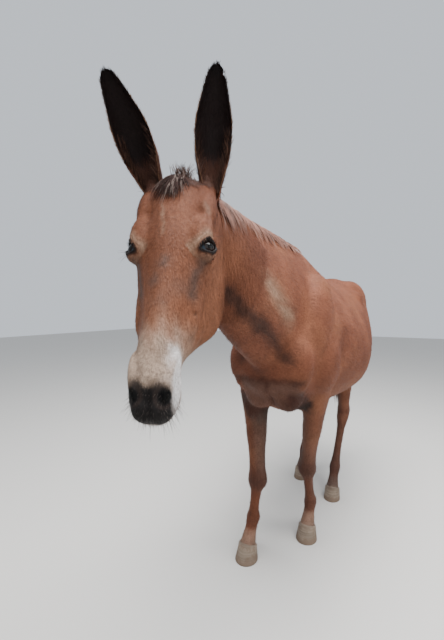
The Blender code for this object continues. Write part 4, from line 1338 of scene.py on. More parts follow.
def region_of(points):
    """Number of a point's piece of coat, from COAT_PIECES; 5, where none grows, is in the hooves."""
    _, y, z = points.T
    region = np.where(y < -0.30, 1, np.where(y < 0.28, 2, 3))
    region = np.where(z < 0.72, 4, region)
    region = np.where(z < INSIDE_HOOF, 5, region)
    return np.where(on_the_head(points) | ((z > 1.56) & (y < -1.1)), 0, region)


def unwrapped(points, regions):
    """A place in the unit square for each point: every region is unrolled as a cylinder of its own."""
    x, y, z = points.T
    head = head_metres(points)
    turn = np.arctan2(x, z - 1.1) / (2 * math.pi) + 0.5
    flat = np.stack([turn, (y + 1.3) / 2.4], 1) * [0.44, 0.96] + [0.52, 0.02]
    about = np.arctan2(head[:, 0], head[:, 2] + 0.10) / (2 * math.pi) + 0.5
    down = np.clip(head[:, 1] / HEAD_LENGTH * 0.72 + 0.25, 0, 1)
    face = np.stack([about, down], 1) * [0.44, 0.44] + [0.04, 0.52]
    legs = np.zeros((len(points), 2))
    for i, name in enumerate(FEET):
        root, middle, fetlock, coronet = [np.array(j) for j in joints_of(name)]
        mine = near_path(points, [root, middle, fetlock, coronet], 0.15)
        share = np.clip((middle[2] - z) / (middle[2] - fetlock[2]), 0, 1)
        axis = middle + (fetlock - middle) * share[:, None]
        around = np.arctan2(x - axis[:, 0], y - axis[:, 1]) / (2 * math.pi) + 0.5
        own = np.stack([around * 0.10 + 0.02 + 0.12 * i, np.clip(z / 0.75, 0, 1) * 0.44 + 0.02], 1)
        best = mine > 0.15 if i == 0 else mine >= nearest
        legs = np.where(best[:, None], own, legs)
        nearest = mine if i == 0 else np.maximum(mine, nearest)
    found = np.where((regions == 4)[:, None], legs, flat)
    return np.where((regions == 0)[:, None], face, found)


def give(obj, name, kind, values):
    """Stores one value for every vertex under a name that materials and node trees can read."""
    layer = obj.data.attributes.new(name, kind, "POINT")
    key = {"FLOAT": "value", "INT": "value", "FLOAT_VECTOR": "vector", "FLOAT_COLOR": "color"}[kind]
    layer.data.foreach_set(key, np.asarray(values, np.int32 if kind == "INT" else np.float32).ravel())


def with_alpha(colours):
    """RGB rows with a fourth column of ones."""
    return np.concatenate([colours, np.ones((len(colours), 1))], 1)


normals = normals_of(skin)
combs = comb_ways(places, normals)
regions = region_of(places)
give(skin, "tint", "FLOAT_COLOR", with_alpha(tints))
give(skin, "comb", "FLOAT_VECTOR", combs)
give(skin, "hair_length", "FLOAT", coat_lengths(places, normals))
give(skin, "region", "FLOAT", regions)
flat_places = unwrapped(places, regions)
give(skin, "flat", "FLOAT_VECTOR", np.concatenate([flat_places, np.zeros((len(places), 1))], 1))
print("coat regions", np.bincount(regions))

# %% [markdown]
# Materials are built from nodes. One small class wraps an output socket, so that a mask can be
# written as a sum or product, and one method makes any other node with its settings.

# %% Writing shaders as expressions


class Wire:
    """A number that a node gives, for use in ordinary arithmetic."""

    def __init__(self, shade, socket):
        self.shade = shade
        self.socket = socket

    def with_math(self, operation, first, second):
        return self.shade.node("ShaderNodeMath", {"operation": operation}, {0: first, 1: second})

    def __add__(self, other):
        return self.with_math("ADD", self, other)

    def __radd__(self, other):
        return self.with_math("ADD", other, self)

    def __sub__(self, other):
        return self.with_math("SUBTRACT", self, other)

    def __rsub__(self, other):
        return self.with_math("SUBTRACT", other, self)

    def __mul__(self, other):
        return self.with_math("MULTIPLY", self, other)

    def __rmul__(self, other):
        return self.with_math("MULTIPLY", other, self)

    def between(self, low, high):
        """0 below low and 1 above high, smooth between."""
        inputs = {"Value": self, "From Min": low, "From Max": high}
        return self.shade.node("ShaderNodeMapRange", {"interpolation_type": "SMOOTHSTEP"}, inputs)


class Shade:
    """A material with a Principled shader and short ways to feed it."""

    def __init__(self, name, **fixed):
        self.material = bpy.data.materials.new(name)
        self.material.use_nodes = True
        self.tree = self.material.node_tree
        self.shader = self.tree.nodes["Principled BSDF"]
        for key, value in fixed.items():
            self.shader.inputs[key.replace("_", " ")].default_value = value

    def feed(self, node, inputs):
        for key, value in inputs.items():
            if isinstance(value, Wire):
                self.tree.links.new(value.socket, node.inputs[key])
            else:
                node.inputs[key].default_value = value

    def node(self, kind, settings=None, inputs=None, output=0):
        made = self.tree.nodes.new(kind)
        for key, value in (settings or {}).items():
            setattr(made, key, value)
        self.feed(made, inputs or {})
        return Wire(self, made.outputs[output])

    def place(self):
        return self.node("ShaderNodeTexCoord", output="Object")

    def attribute(self, name, output="Color"):
        return self.node("ShaderNodeAttribute", {"attribute_name": name}, output=output)

    def noise(self, where, scale, detail=3.0, roughness=0.55):
        inputs = {"Vector": where, "Scale": scale, "Detail": detail, "Roughness": roughness}
        return self.node("ShaderNodeTexNoise", {}, inputs, "Fac")

    def drawn_out(self, squeeze):
        """Object coordinates squeezed along the comb, which draws a noise out into streaks."""
        where = self.place()
        comb = self.attribute("comb", "Vector")
        along = self.vector("DOT_PRODUCT", where, comb)
        return self.vector("SUBTRACT", where, self.vector("SCALE", comb, scale=along * squeeze))

    def mix(self, share, first, second, blend="MIX"):
        inputs = {0: share, 6: first, 7: second}
        return self.node("ShaderNodeMix", {"data_type": "RGBA", "blend_type": blend}, inputs, 2)

    def vector(self, operation, first, second=None, scale=None):
        inputs = {0: first}
        if second is not None:
            inputs[1] = second
        if scale is not None:
            inputs["Scale"] = scale
        output = "Value" if operation in ("DOT_PRODUCT", "LENGTH") else "Vector"
        return self.node("ShaderNodeVectorMath", {"operation": operation}, inputs, output)

    def finish(self, **links):
        for key, value in links.items():
            self.feed(self.shader, {key.replace("_", " "): value})
        return self.material


def solid(colour):
    """A colour as the four numbers that a socket wants."""
    return (*colour, 1.0)


# %% [markdown]
# The coat shines like satin: single hairs are glossy and all lie one way. Its streaks and its
# bump are noise drawn out along the comb, which is done by squeezing space in that direction.

# %% The coat's material
STREAK = 0.90


def coat_material(name, bump):
    """Hair colour from the painted tint, with streaks, flecks, satin sheen and a fine grain."""
    shade = Shade(name, Specular_IOR_Level=0.14)
    where = shade.place()
    drawn = shade.drawn_out(STREAK)
    hairs = shade.noise(drawn, 420.0, 2.0)
    locks = shade.noise(drawn, 110.0, 3.0)
    clouds = shade.noise(where, 11.0, 3.0)
    tint = shade.attribute("tint")
    dark = shade.mix(1.0, tint, solid((0.50, 0.45, 0.42)), "MULTIPLY")
    light = shade.mix(1.0, tint, solid((1.42, 1.44, 1.46)), "MULTIPLY")
    mottle = shade.noise(where, 170.0, 2.0)
    share = (hairs * 0.40 + locks * 0.25 + clouds * 0.30 + mottle * 0.30 - 0.125).between(0.27, 0.78)
    colour = shade.mix(share, dark, light)
    fleck = shade.noise(where, 520.0, 1.0).between(0.62, 0.70) * 0.45
    pale = shade.mix(1.0, colour, solid((1.75, 1.85, 1.95)), "MULTIPLY")
    colour = shade.mix(fleck, colour, pale)
    rough = 0.46 + locks * 0.22 + clouds * 0.06
    height = hairs * 0.6 + locks * 0.8
    normal = shade.node("ShaderNodeBump", {}, {"Strength": bump, "Distance": 0.0022, "Height": height})
    return shade.finish(Base_Color=colour, Roughness=rough, Normal=normal)


SKIN_MATERIAL = coat_material("short_coat", 0.55)
TUFT_MATERIAL = coat_material("coat_tufts", 0.05)


def dressed(obj, material, smooth=True):
    """Moves a finished piece into the frame and gives it its material, body and slot."""
    obj.data.transform(Matrix.Translation(SHIFT))
    obj.data.materials.clear()
    obj.data.materials.append(material)
    if smooth:
        obj.data.shade_smooth()
    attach(obj, "root")
    return obj


# %% [markdown]
# Short fur lies flat, so most of it is bump. Thin blades over the whole skin break its smooth
# outline. A node tree scatters them: points on the faces, a blade on each, turned along the
# comb. Realize Instances then makes them plain mesh, and the OFBake map gives each blade a
# patch of its own where its root lies on the unrolled skin.

# %% A blade of hair
BLADE_WIDTH = 0.0011


def blade_object():
    """One blade, 1 long, along +Y, lifting off its bed towards the tip."""
    half = 0.5
    points = [(-half, 0, 0), (half, 0, 0), (-half * 0.8, 0.5, 0.10), (half * 0.8, 0.5, 0.10), (0, 1, 0.10)]
    made = mesh_object("blade", points, [(0, 1, 3, 2), (2, 3, 4)])
    patch = made.data.uv_layers.new(name="patch")
    for loop in made.data.loops:
        x, y, _ = points[loop.vertex_index]
        patch.data[loop.index].uv = (x, y)
    return made


# %% [markdown]
# The tree has named inputs for the region, density and width, and a fixed seed. A random stray
# added to the comb keeps the blades from lying like the teeth of a comb.

# %% A node tree that grows a short coat
PATCH = 0.003
STRAY = 0.28
LENGTH_SHARES = (0.65, 1.25)


def coat_tree(blade, material):
    """Geometry nodes that scatter blades over one region of a skin."""
    tree = bpy.data.node_groups.new("grow_coat", "GeometryNodeTree")
    for name, kind in (
        ("Skin", "NodeSocketGeometry"),
        ("Region", "NodeSocketFloat"),
        ("Density", "NodeSocketFloat"),
        ("Width", "NodeSocketFloat"),
        ("Seed", "NodeSocketInt"),
    ):
        tree.interface.new_socket(name=name, in_out="INPUT", socket_type=kind)
    tree.interface.new_socket(name="Coat", in_out="OUTPUT", socket_type="NodeSocketGeometry")

    def add(kind, settings=None, inputs=None):
        made = tree.nodes.new(kind)
        for key, value in (settings or {}).items():
            setattr(made, key, value)
        for key, value in (inputs or {}).items():
            if isinstance(value, bpy.types.NodeSocket):
                tree.links.new(value, made.inputs[key])
            else:
                made.inputs[key].default_value = value
        return made

    def named(name, kind):
        made = add("GeometryNodeInputNamedAttribute", {"data_type": kind}, {"Name": name})
        return made.outputs["Attribute"]

    def vectored(operation, inputs):
        return add("ShaderNodeVectorMath", {"operation": operation}, inputs).outputs[0]

    def mathed(operation, first, second):
        return add("ShaderNodeMath", {"operation": operation}, {0: first, 1: second}).outputs[0]

    given = add("NodeGroupInput")
    gap = mathed("ABSOLUTE", mathed("SUBTRACT", named("region", "FLOAT"), given.outputs["Region"]), 0.0)
    here = add("FunctionNodeCompare", {"data_type": "FLOAT", "operation": "LESS_THAN"}, {"A": gap, "B": 0.3})
    spread = add(
        "GeometryNodeDistributePointsOnFaces",
        {},
        {
            "Mesh": given.outputs["Skin"],
            "Selection": here.outputs["Result"],
            "Density": given.outputs["Density"],
            "Seed": given.outputs["Seed"],
        },
    )
    stray = add(
        "FunctionNodeRandomValue",
        {"data_type": "FLOAT_VECTOR"},
        {0: (-STRAY,) * 3, 1: (STRAY,) * 3, "Seed": given.outputs["Seed"]},
    )
    way = vectored("ADD", {0: named("comb", "FLOAT_VECTOR"), 1: stray.outputs[0]})
    turn = add(
        "FunctionNodeAxesToRotation",
        {"primary_axis": "Y", "secondary_axis": "Z"},
        {0: way, 1: spread.outputs["Normal"]},
    )
    shortest, longest = LENGTH_SHARES
    length = add("FunctionNodeRandomValue", {"data_type": "FLOAT"}, {2: shortest, 3: longest})
    size = mathed("MULTIPLY", named("hair_length", "FLOAT"), length.outputs[1])
    scale = add("ShaderNodeCombineXYZ", {}, {"X": given.outputs["Width"], "Y": size, "Z": size})
    source = add("GeometryNodeObjectInfo", {}, {"Object": blade})
    grown = add(
        "GeometryNodeInstanceOnPoints",
        {},
        {
            "Points": spread.outputs["Points"],
            "Instance": source.outputs["Geometry"],
            "Rotation": turn.outputs[0],
            "Scale": scale.outputs[0],
        },
    )
    real = add("GeometryNodeRealizeInstances", {}, {0: grown.outputs[0]})
    inside = vectored("SCALE", {0: named("patch", "FLOAT_VECTOR"), "Scale": PATCH})
    spot = vectored("ADD", {0: named("flat", "FLOAT_VECTOR"), 1: inside})
    mapped = add(
        "GeometryNodeStoreNamedAttribute",
        {"data_type": "FLOAT2", "domain": "CORNER"},
        {"Geometry": real.outputs[0], "Name": "OFBake", "Value": spot},
    )
    painted = add("GeometryNodeSetMaterial", {}, {"Geometry": mapped.outputs[0], "Material": material})
    out = add("NodeGroupOutput")
    tree.links.new(painted.outputs[0], out.inputs[0])
    return tree


def grow(name, source, tree, **values):
    """Runs the tree on a copy of the skin and returns the result as a plain mesh object."""
    made = linked(name, source.data.copy())
    step = made.modifiers.new("grow", "NODES")
    step.node_group = tree
    for item in tree.interface.items_tree:
        if item.in_out == "INPUT" and item.name in values:
            step[item.identifier] = values[item.name]
    made = evaluated(made)
    for extra in ("patch", "flat", "hair_length", "region"):
        layer = made.data.attributes.get(extra)
        if layer:
            made.data.attributes.remove(layer)
    return made


# %% [markdown]
# The coat is grown in five pieces, so that none is too heavy. The head gets the most blades to
# the square metre, as its hair is the shortest and it is looked at most closely.

# %% Grow the coat, one piece for each region
COAT_PIECES = [
    # name, region, blades to the square metre
    ("coat_head", 0, 78000),
    ("coat_neck_and_chest", 1, 38000),
    ("coat_barrel", 2, 34000),
    ("coat_rump", 3, 34000),
    ("coat_legs", 4, 50000),
]
COAT_SEED = 7
coat_share = 1.0
blade = blade_object()
grower = coat_tree(blade, TUFT_MATERIAL)
for name, region, density in COAT_PIECES:
    wanted = {"Region": float(region), "Density": density * coat_share}
    piece = grow(name, skin, grower, **wanted, Width=BLADE_WIDTH, Seed=COAT_SEED + region)
    dressed(piece, TUFT_MATERIAL)
    print(name, sum(len(p.vertices) - 2 for p in piece.data.polygons), "triangles")
bpy.data.objects.remove(blade)

# %% [markdown]
# Long hair is made strand by strand, because each falls its own way. A strand is a narrow
# ribbon with a ridge down its middle, so that it catches light on both slopes.

# %% Ribbons of hair


def ribbons(name, paths, outs, widths, colours, profile, material):
    """Strands as one mesh: paths and outward ways are (strand, step, 3), widths one a strand."""
    paths, outs = np.asarray(paths, float), np.asarray(outs, float)
    count, steps, _ = paths.shape
    ahead = np.gradient(paths, axis=1)
    ahead /= np.maximum(np.linalg.norm(ahead, axis=2, keepdims=True), 1e-9)
    outs = outs - ahead * (outs * ahead).sum(2, keepdims=True)
    outs /= np.maximum(np.linalg.norm(outs, axis=2, keepdims=True), 1e-9)
    wide = np.asarray(widths)[:, None] * np.asarray(profile)[None, :]
    side = np.cross(ahead, outs) * wide[:, :, None] / 2
    ridge = outs * np.linalg.norm(side, axis=2, keepdims=True) * 0.6
    points = np.stack([paths + side, paths + ridge, paths - side], 2).reshape(-1, 3)
    start = (np.arange(count)[:, None] * steps + np.arange(steps - 1)[None, :]).ravel() * 3
    faces = []
    for j in (0, 1):
        faces.append(np.stack([start + j, start + 3 + j, start + 4 + j, start + 1 + j], 1))
    faces = np.concatenate(faces)
    mesh = bpy.data.meshes.new(name)
    mesh.vertices.add(len(points))
    mesh.vertices.foreach_set("co", points.astype(np.float32).ravel())
    mesh.loops.add(faces.size)
    mesh.loops.foreach_set("vertex_index", faces.astype(np.int32).ravel())
    mesh.polygons.add(len(faces))
    mesh.polygons.foreach_set("loop_start", np.arange(len(faces), dtype=np.int32) * 4)
    mesh.update(calc_edges=True)
    made = linked(name, mesh)
    give(made, "tint", "FLOAT_COLOR", with_alpha(np.repeat(np.clip(colours, 0, 1).reshape(-1, 3), 3, axis=0)))
    give(made, "comb", "FLOAT_VECTOR", np.repeat(ahead.reshape(-1, 3), 3, axis=0))
    roots = unwrapped(paths[:, 0], region_of(paths[:, 0]))
    share = np.stack(np.meshgrid(np.linspace(0, 1, steps), [0, 0.5, 1], indexing="ij"), 2)
    flat = (roots[:, None, None, :] + share[None] * PATCH).reshape(-1, 2)
    layer = mesh.uv_layers.new(name="OFBake")
    layer.data.foreach_set("uv", flat[faces.ravel()].astype(np.float32).ravel())
    dressed(made, material)
    print(name, count, "strands,", 2 * len(faces), "triangles")
    return made


def hair_material(name, rough, shine):
    """Coarse hair: the strand's own tint with fine streaks along it."""
    shade = Shade(name, Specular_IOR_Level=shine)
    drawn = shade.drawn_out(0.95)
    fine = shade.noise(drawn, 700.0, 2.0)
    tint = shade.attribute("tint")
    dark = shade.mix(1.0, tint, solid((0.60, 0.58, 0.57)), "MULTIPLY")
    light = shade.mix(1.0, tint, solid((1.35, 1.33, 1.32)), "MULTIPLY")
    colour = shade.mix(fine.between(0.30, 0.70), dark, light)
    return shade.finish(Base_Color=colour, Roughness=rough + fine * 0.15)


HAIR_MATERIAL = hair_material("long_hair", 0.38, 0.12)
FORELOCK_MATERIAL = hair_material("forelock_hair", 0.60, 0.02)
LASH_MATERIAL = hair_material("whiskers_and_lashes", 0.45, 0.12)
bed = surface(skin)


def combed(root, way, length, steps, lift):
    """Points and normals reached by combing over the skin from a root, raised by the lift at each."""
    place, out, _, _ = bed.find_nearest(Vector(root))
    points, outs = [], []
    for k in range(steps):
        if k:
            along = (way - out * way.dot(out)).normalized()
            place, out, _, _ = bed.find_nearest(place + along * (length / (steps - 1)))
        points.append(place + out * lift[k])
        outs.append(out.copy())
    return points, outs


# %% [markdown]
# The mane of a mule is thin. Here it lies on the left of the crest, red-brown where it springs
# and pale pink-grey where the sky lights it, in clumps of strands that share one direction.

# %% Mane
MANE_SPAN = (-1.175, -0.36)
MANE_CLUMPS = 130
STRANDS_A_CLUMP = 9
MANE_LENGTH = (0.075, 0.145)
MANE_TONES = [(0.130, 0.045, 0.026), (0.200, 0.095, 0.066), (0.055, 0.024, 0.018)]
MANE_TIPS = (0.36, 0.225, 0.185)
STRAND_PROFILE = [0.8, 1.0, 1.0, 0.95, 0.85, 0.7, 0.45, 0.08]


def crest_point(x, y):
    """Where the crest of the neck lies under a point seen from above."""
    return bed.ray_cast(Vector((x, y, 2.0)), Vector((0, 0, -1)))[0]


def mane():
    """Clumps along the crest, each fanning out a little as it falls to the left."""
    draw = np.random.default_rng(41)
    paths, outs, widths, colours = [], [], [], []
    steps = len(STRAND_PROFILE)
    for i in range(MANE_CLUMPS):
        t = (i + draw.uniform(-0.4, 0.4)) / (MANE_CLUMPS - 1)
        y = MANE_SPAN[0] + (MANE_SPAN[1] - MANE_SPAN[0]) * min(1, max(0, t))
        lean = draw.uniform(0.05, 0.65)
        length = draw.uniform(*MANE_LENGTH) * (1 - 0.50 * t)
        bounce = draw.uniform(0.002, 0.010)
        tone = np.array(MANE_TONES[draw.choice([0, 1, 2], p=[0.5, 0.3, 0.2])])
        for _ in range(STRANDS_A_CLUMP):
            x = draw.uniform(-0.016, 0.016)
            root = crest_point(x, y + draw.uniform(-0.004, 0.004))
            way = Vector((1.0, lean + draw.uniform(-0.12, 0.12), -0.9)).normalized()
            own = length * draw.uniform(0.75, 1.1)
            swells = [math.sin(math.pi * min(1, 0.15 + k / 9)) for k in range(steps)]
            rise = [0.001 + bounce * swell + 0.0008 * k for k, swell in enumerate(swells)]
            points, normals = combed(root, way, own, steps, rise)
            paths.append(points)
            outs.append(normals)
            widths.append(draw.uniform(0.0022, 0.0042))
            fade = np.linspace(0, 1, steps)[:, None]
            # painted sheen: the strands turn pale pink-grey towards their tips
            tips = np.array(MANE_TIPS) * 0.45 * fade
            colours.append(tone * draw.uniform(0.8, 1.2) * (1 - 0.45 * fade) + tips)
    ribbons("mane", paths, outs, widths, np.array(colours), STRAND_PROFILE, HAIR_MATERIAL)


mane()

# %% [markdown]
# The forelock is short, dark and untidy with some silver in it, and a tuft of it stands up
# between the ears. It is dull, so its shader has less gloss than the mane's.

# %% Forelock
FORELOCK_CLUMPS = 36
FORELOCK_STRANDS = 11
STANDING_STRANDS = 130


def strand_tone(draw):
    """Dark grey-brown, or now and then silver."""
    dark = np.array((0.014, 0.007, 0.006)) * draw.uniform(0.6, 2.6)
    silver = np.array((0.200, 0.155, 0.135))
    share = 0.75 if draw.uniform() < 0.16 else 0.04
    return dark * (1 - share) + silver * share


def forelock():
    """Untidy dark hair that falls in wisps from between the ears, with some that stands up."""
    draw = np.random.default_rng(17)
    paths, outs, widths, colours = [], [], [], []
    steps = len(STRAND_PROFILE)
    for _ in range(FORELOCK_CLUMPS):
        t = draw.normal() * 0.45
        start = (-0.002 + 0.020 * t, draw.uniform(-0.035, 0.030))
        lean = 0.40 * t + draw.uniform(-0.40, 0.30)
        length = draw.uniform(0.040, 0.120) * math.exp(-0.5 * t * t)
        arch = draw.uniform(0.003, 0.014)
        for _ in range(FORELOCK_STRANDS):
            root = on_head(start[0] + draw.normal() * 0.004, start[1] + draw.normal() * 0.006, 0.004)
            way = FACE_DOWN + LEFTWARD * (lean + draw.normal() * 0.10)
            rise = [0.001 + arch * math.sin(math.pi * min(1, 0.05 + k / (steps + 1))) for k in range(steps)]
            points, normals = combed(root, way.normalized(), length * draw.uniform(0.6, 1.1), steps, rise)
            paths.append(points)
            outs.append(normals)
            widths.append(draw.uniform(0.0009, 0.0022))
            colours.append(np.tile(strand_tone(draw), (steps, 1)))
    for _ in range(STANDING_STRANDS):
        root = on_head(0.010 + 0.014 * draw.normal(), draw.uniform(-0.040, 0.005), -0.004)
        hit = bed.find_nearest(root)[0]
        way = Vector((0.25, -0.20, 1.0)) + Vector(draw.normal(size=3)) * 0.28
        way.normalize()
        length = draw.uniform(0.022, 0.052)
        shares = [k / (steps - 1) for k in range(steps)]
        fall = FACE_DOWN * 0.5 + LEFTWARD * draw.uniform(-0.3, 0.4)
        paths.append([hit + way * length * a + fall * length * 0.7 * a**2.2 for a in shares])
        outs.append([FACE_OUT] * steps)
        widths.append(draw.uniform(0.0008, 0.0016))
        colours.append(np.tile(strand_tone(draw) * 2.0 + np.array((0.05, 0.036, 0.030)), (steps, 1)))
    ribbons("forelock", paths, outs, widths, np.array(colours), STRAND_PROFILE, FORELOCK_MATERIAL)


forelock()

# %% [markdown]
# The tail hangs from the dock in long strands that spread in the middle and draw in again. The
# photograph hides it, so it is the plain, full tail that such a mule has.

# %% Tail
TAIL_STRANDS = 720
TAIL_TIPS = (0.41, 0.64)
TAIL_SPREAD = 0.058
TAIL_PROFILE = [0.6] + [1.0] * 7 + [0.92, 0.8, 0.62, 0.38, 0.06]
GOLDEN_ANGLE = 2.399963


def tail():
    """Strands from all round the dock, the lowest of them to below the hocks."""
    draw = np.random.default_rng(29)
    spine = catmull(DOCK, 10)
    paths, outs, widths, colours = [], [], [], []
    steps = len(TAIL_PROFILE)
    for i in range(TAIL_STRANDS):
        angle = i * GOLDEN_ANGLE + draw.uniform(-0.2, 0.2)
        t = (i + 0.5) / TAIL_STRANDS
        start = spine[int((0.16 + 0.76 * t) * (len(spine) - 1))]
        out = np.array([math.cos(angle), math.sin(angle), 0])
        if start[2] > 1.02 and out[1] < -0.2:
            out[1] = -out[1]
        root = start[:3] + out * start[3] * 0.6
        tip = draw.uniform(*TAIL_TIPS) + 0.10 * (1 - t)
        fan = TAIL_SPREAD * draw.uniform(0.15, 1.0)
        wave = draw.uniform(0.001, 0.005)
        phase = draw.uniform(0, 6.28)
        path = []
        for k in range(steps):
            share = k / (steps - 1)
            spread = start[3] * 0.6 + fan * math.sin(math.pi * min(0.72 * share + 0.02, 1.0))
            drift = wave * share * math.sin(9 * share + phase)
            point = np.array([start[0], start[1], root[2] + (tip - root[2]) * share])
            point += out * spread + np.array([drift, drift, 0])
            point[1] = max(point[1], 0.895 + 0.02 * share)
            path.append(point)
        paths.append(path)
        outs.append([out] * steps)
        widths.append(draw.uniform(0.0030, 0.0065))
        tone = [(0.095, 0.034, 0.020), (0.150, 0.064, 0.038), (0.042, 0.018, 0.013)][int(draw.integers(0, 3))]
        fade = np.linspace(0, 1, steps)[:, None]
        pale = np.array((0.20, 0.105, 0.070))
        colours.append(np.array(tone) * draw.uniform(0.8, 1.2) * (1 - 0.25 * fade) + pale * 0.25 * fade)
    ribbons("tail_hair", paths, outs, widths, np.array(colours), TAIL_PROFILE, HAIR_MATERIAL)


tail()

# %% [markdown]
# Fine straight hairs finish the face: whiskers on lips and chin, feelers round the eyes,
# lashes on the upper lids, and long soft hair in the mouth of each ear.

# %% Straight hairs
WHISKERS = 520
FEELERS_AN_EYE = 7
LASHES_AN_EYE = 44
FRINGE_HAIRS_AN_EAR = 520
RIM_HAIRS_AN_EAR = 1100


def spikes(name, roots, ways, lengths, width, colours, droop, material, steps=5):
    """Single hairs that leave their roots straight and droop a little."""
    paths, outs = [], []
    for root, way, length in zip(roots, ways, lengths):
        way = Vector(way).normalized()
        other = way.cross(Vector((0.3, 0.2, 1))).normalized()
        shares = [k / (steps - 1) for k in range(steps)]
        sags = [Vector((0, 0, droop * length * a * a)) for a in shares]
        paths.append([Vector(root) + way * length * a - sag for a, sag in zip(shares, sags)])
        outs.append([other] * steps)
    tones = np.repeat(np.array(colours)[:, None], steps, axis=1)
    profile = np.linspace(1, 0.15, steps)
    return ribbons(name, paths, outs, [width] * len(paths), tones, profile, material)


def whiskers():
    """Stiff hairs on the lips and chin and a few long feelers round each eye."""
    draw = np.random.default_rng(3)
    roots, ways, lengths, tones = [], [], [], []
    middle = on_head(0, 0.93, -0.085)
    while len(roots) < WHISKERS:
        way = Vector(draw.normal(size=3)).normalized()
        head_way = Vector((way.dot(LEFTWARD), way.dot(FACE_DOWN), way.dot(FACE_OUT)))
        if head_way.y < -0.10:
            continue
        hit, out, _, _ = bed.ray_cast(middle + way * 0.30, -way)
        if hit is None or out.dot(way) < 0.2:
            continue
        long_hair = head_way.z < 0.1 and draw.uniform() < 0.35
        roots.append(hit - out * 0.001)
        ways.append(out * (1.0 if long_hair else 0.45) + FACE_DOWN * 0.6 + Vector(draw.normal(size=3)) * 0.25)
        lengths.append(draw.uniform(0.012, 0.034) if long_hair else draw.uniform(0.004, 0.011))
        tones.append(np.array((0.24, 0.20, 0.18)) * draw.uniform(0.03, 1.0) ** 1.6)
    for side in (1, -1):
        centre, looks, long, short = eye_axes(side)
        for k in range(FEELERS_AN_EYE):
            turn = math.radians(200 + 20 * k)
            way = (long * math.cos(turn) + short * math.sin(turn)).normalized()
            hit, out, _, _ = bed.find_nearest(centre + looks * 0.03 + way * 0.030)
            roots.append(hit - out * 0.002)
            ways.append(out + way * 0.3)
            lengths.append(draw.uniform(0.018, 0.034))
            tones.append(np.array((0.10, 0.06, 0.05)))
    spikes("whiskers", roots, ways, lengths, 0.0007, tones, 0.15, LASH_MATERIAL)


def lashes():
    """A row of lashes along each upper lid, swept outward and a little down."""
    draw = np.random.default_rng(8)
    roots, ways, lengths, tones = [], [], [], []
    for side in (1, -1):
        centre, looks, long, short = eye_axes(side)
        upward = upward_sign(short)
        for k in range(LASHES_AN_EYE):
            a = math.pi * (0.10 + 0.80 * (k + draw.uniform(-0.3, 0.3)) / (LASHES_AN_EYE - 1))
            u, v = math.cos(a), math.sin(a)
            x = u * EYE_OPENING[0]
            y = v * (1 - LID_PINCH * abs(u)) * EYE_OPENING[1] * upward
            out = math.sqrt(LID_ROUND**2 - x**2 - y**2)
            roots.append(centre + long * x + short * y + looks * (out + 0.001))
            way = looks * 0.9 + long * u * 0.5 + short * upward * 0.10
            ways.append(way + Vector(draw.normal(size=3)) * 0.06)
            lengths.append(draw.uniform(0.005, 0.010))
            tones.append(np.array((0.020, 0.014, 0.012)))
    spikes("lashes", roots, ways, lengths, 0.0008, tones, 0.35, LASH_MATERIAL)


def ear_fringe():
    """Soft hair that rises from the lower rims and floor of each ear across its mouth."""
    draw = np.random.default_rng(12)
    roots, ways, lengths, tones = [], [], [], []
    for side in (1, -1):
        base, axis, front, across = ear_axes(side)
        for _ in range(FRINGE_HAIRS_AN_EAR):
            share = draw.uniform(0.10, 0.62) ** 1.3
            turn = draw.choice([-1, 1]) * draw.uniform(0.55, 1.0)
            half, wrap = cup_at(share)
            a = wrap * turn
            middle = ear_middle(base, axis, front, share)
            inner = (half - EAR_WALL) * 0.98
            root = middle + across * inner * math.sin(a) - front * inner * EAR_SQUASH * math.cos(a)
            roots.append(root)
            way = axis + front * draw.uniform(0.05, 0.25)
            ways.append(way - across * math.sin(a) * draw.uniform(0.10, 0.50))
            lengths.append(draw.uniform(0.020, 0.048) * (1.15 - share))
            pale = draw.uniform() < 0.35
            tone = (0.095, 0.047, 0.030) if pale else (0.022, 0.009, 0.006)
            tones.append(np.array(tone) * draw.uniform(0.6, 1.2))
    spikes("ear_fringe", roots, ways, lengths, 0.0008, tones, 0.05, HAIR_MATERIAL)


def ear_rims():
    """Short tan hair that stands out along both edges of each ear and catches the light."""
    draw = np.random.default_rng(31)
    roots, ways, lengths, tones = [], [], [], []
    for side in (1, -1):
        base, axis, front, across = ear_axes(side)
        for _ in range(RIM_HAIRS_AN_EAR):
            share = draw.uniform(0.10, 0.96)
            half, wrap = cup_at(share)
            a = wrap * draw.choice([-1, 1])
            middle = ear_middle(base, axis, front, share)
            out = across * math.sin(a) - front * EAR_SQUASH * math.cos(a)
            roots.append(middle + out * half * 0.985)
            way = axis * 0.9 + across * math.sin(a) * 0.45 + front * 0.25
            ways.append(way + Vector(draw.normal(size=3)) * 0.15)
            lengths.append(draw.uniform(0.004, 0.008))
            darker = 1.0 if share < 0.8 else 0.3
            tones.append(np.array((0.270, 0.150, 0.085)) * draw.uniform(0.4, 1.2) * darker)
    spikes("ear_rims", roots, ways, lengths, 0.0007, tones, 0.02, HAIR_MATERIAL, steps=4)


whiskers()
lashes()
ear_fringe()
ear_rims()

# %% [markdown]
# The skin is finished now that everything which grew on it has its roots. It stands for every
# node of flesh; the coat, eyes and hooves are pieces of their own.

# %% Put the skin in place
FLESH = [
    "head", "neck", "forequarters", "barrel", "hindquarters", "ear_left", "ear_right", "tail",
    "foreleg_left", "foreleg_right", "hindleg_left", "hindleg_right",
]
for extra in ("flat", "hair_length", "region"):
    skin.data.attributes.remove(skin.data.attributes[extra])
dressed(skin, SKIN_MATERIAL)
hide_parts(*FLESH)
print("skin", sum(len(p.vertices) - 2 for p in skin.data.polygons), "triangles")

# %% [markdown]
# A mule's eye is dark brown, with a level, oval pupil, and a blue-grey reflection is painted at its
# rim. The ball keeps its own coordinates in an attribute, so that the iris can be drawn from them.

# %% Eyes


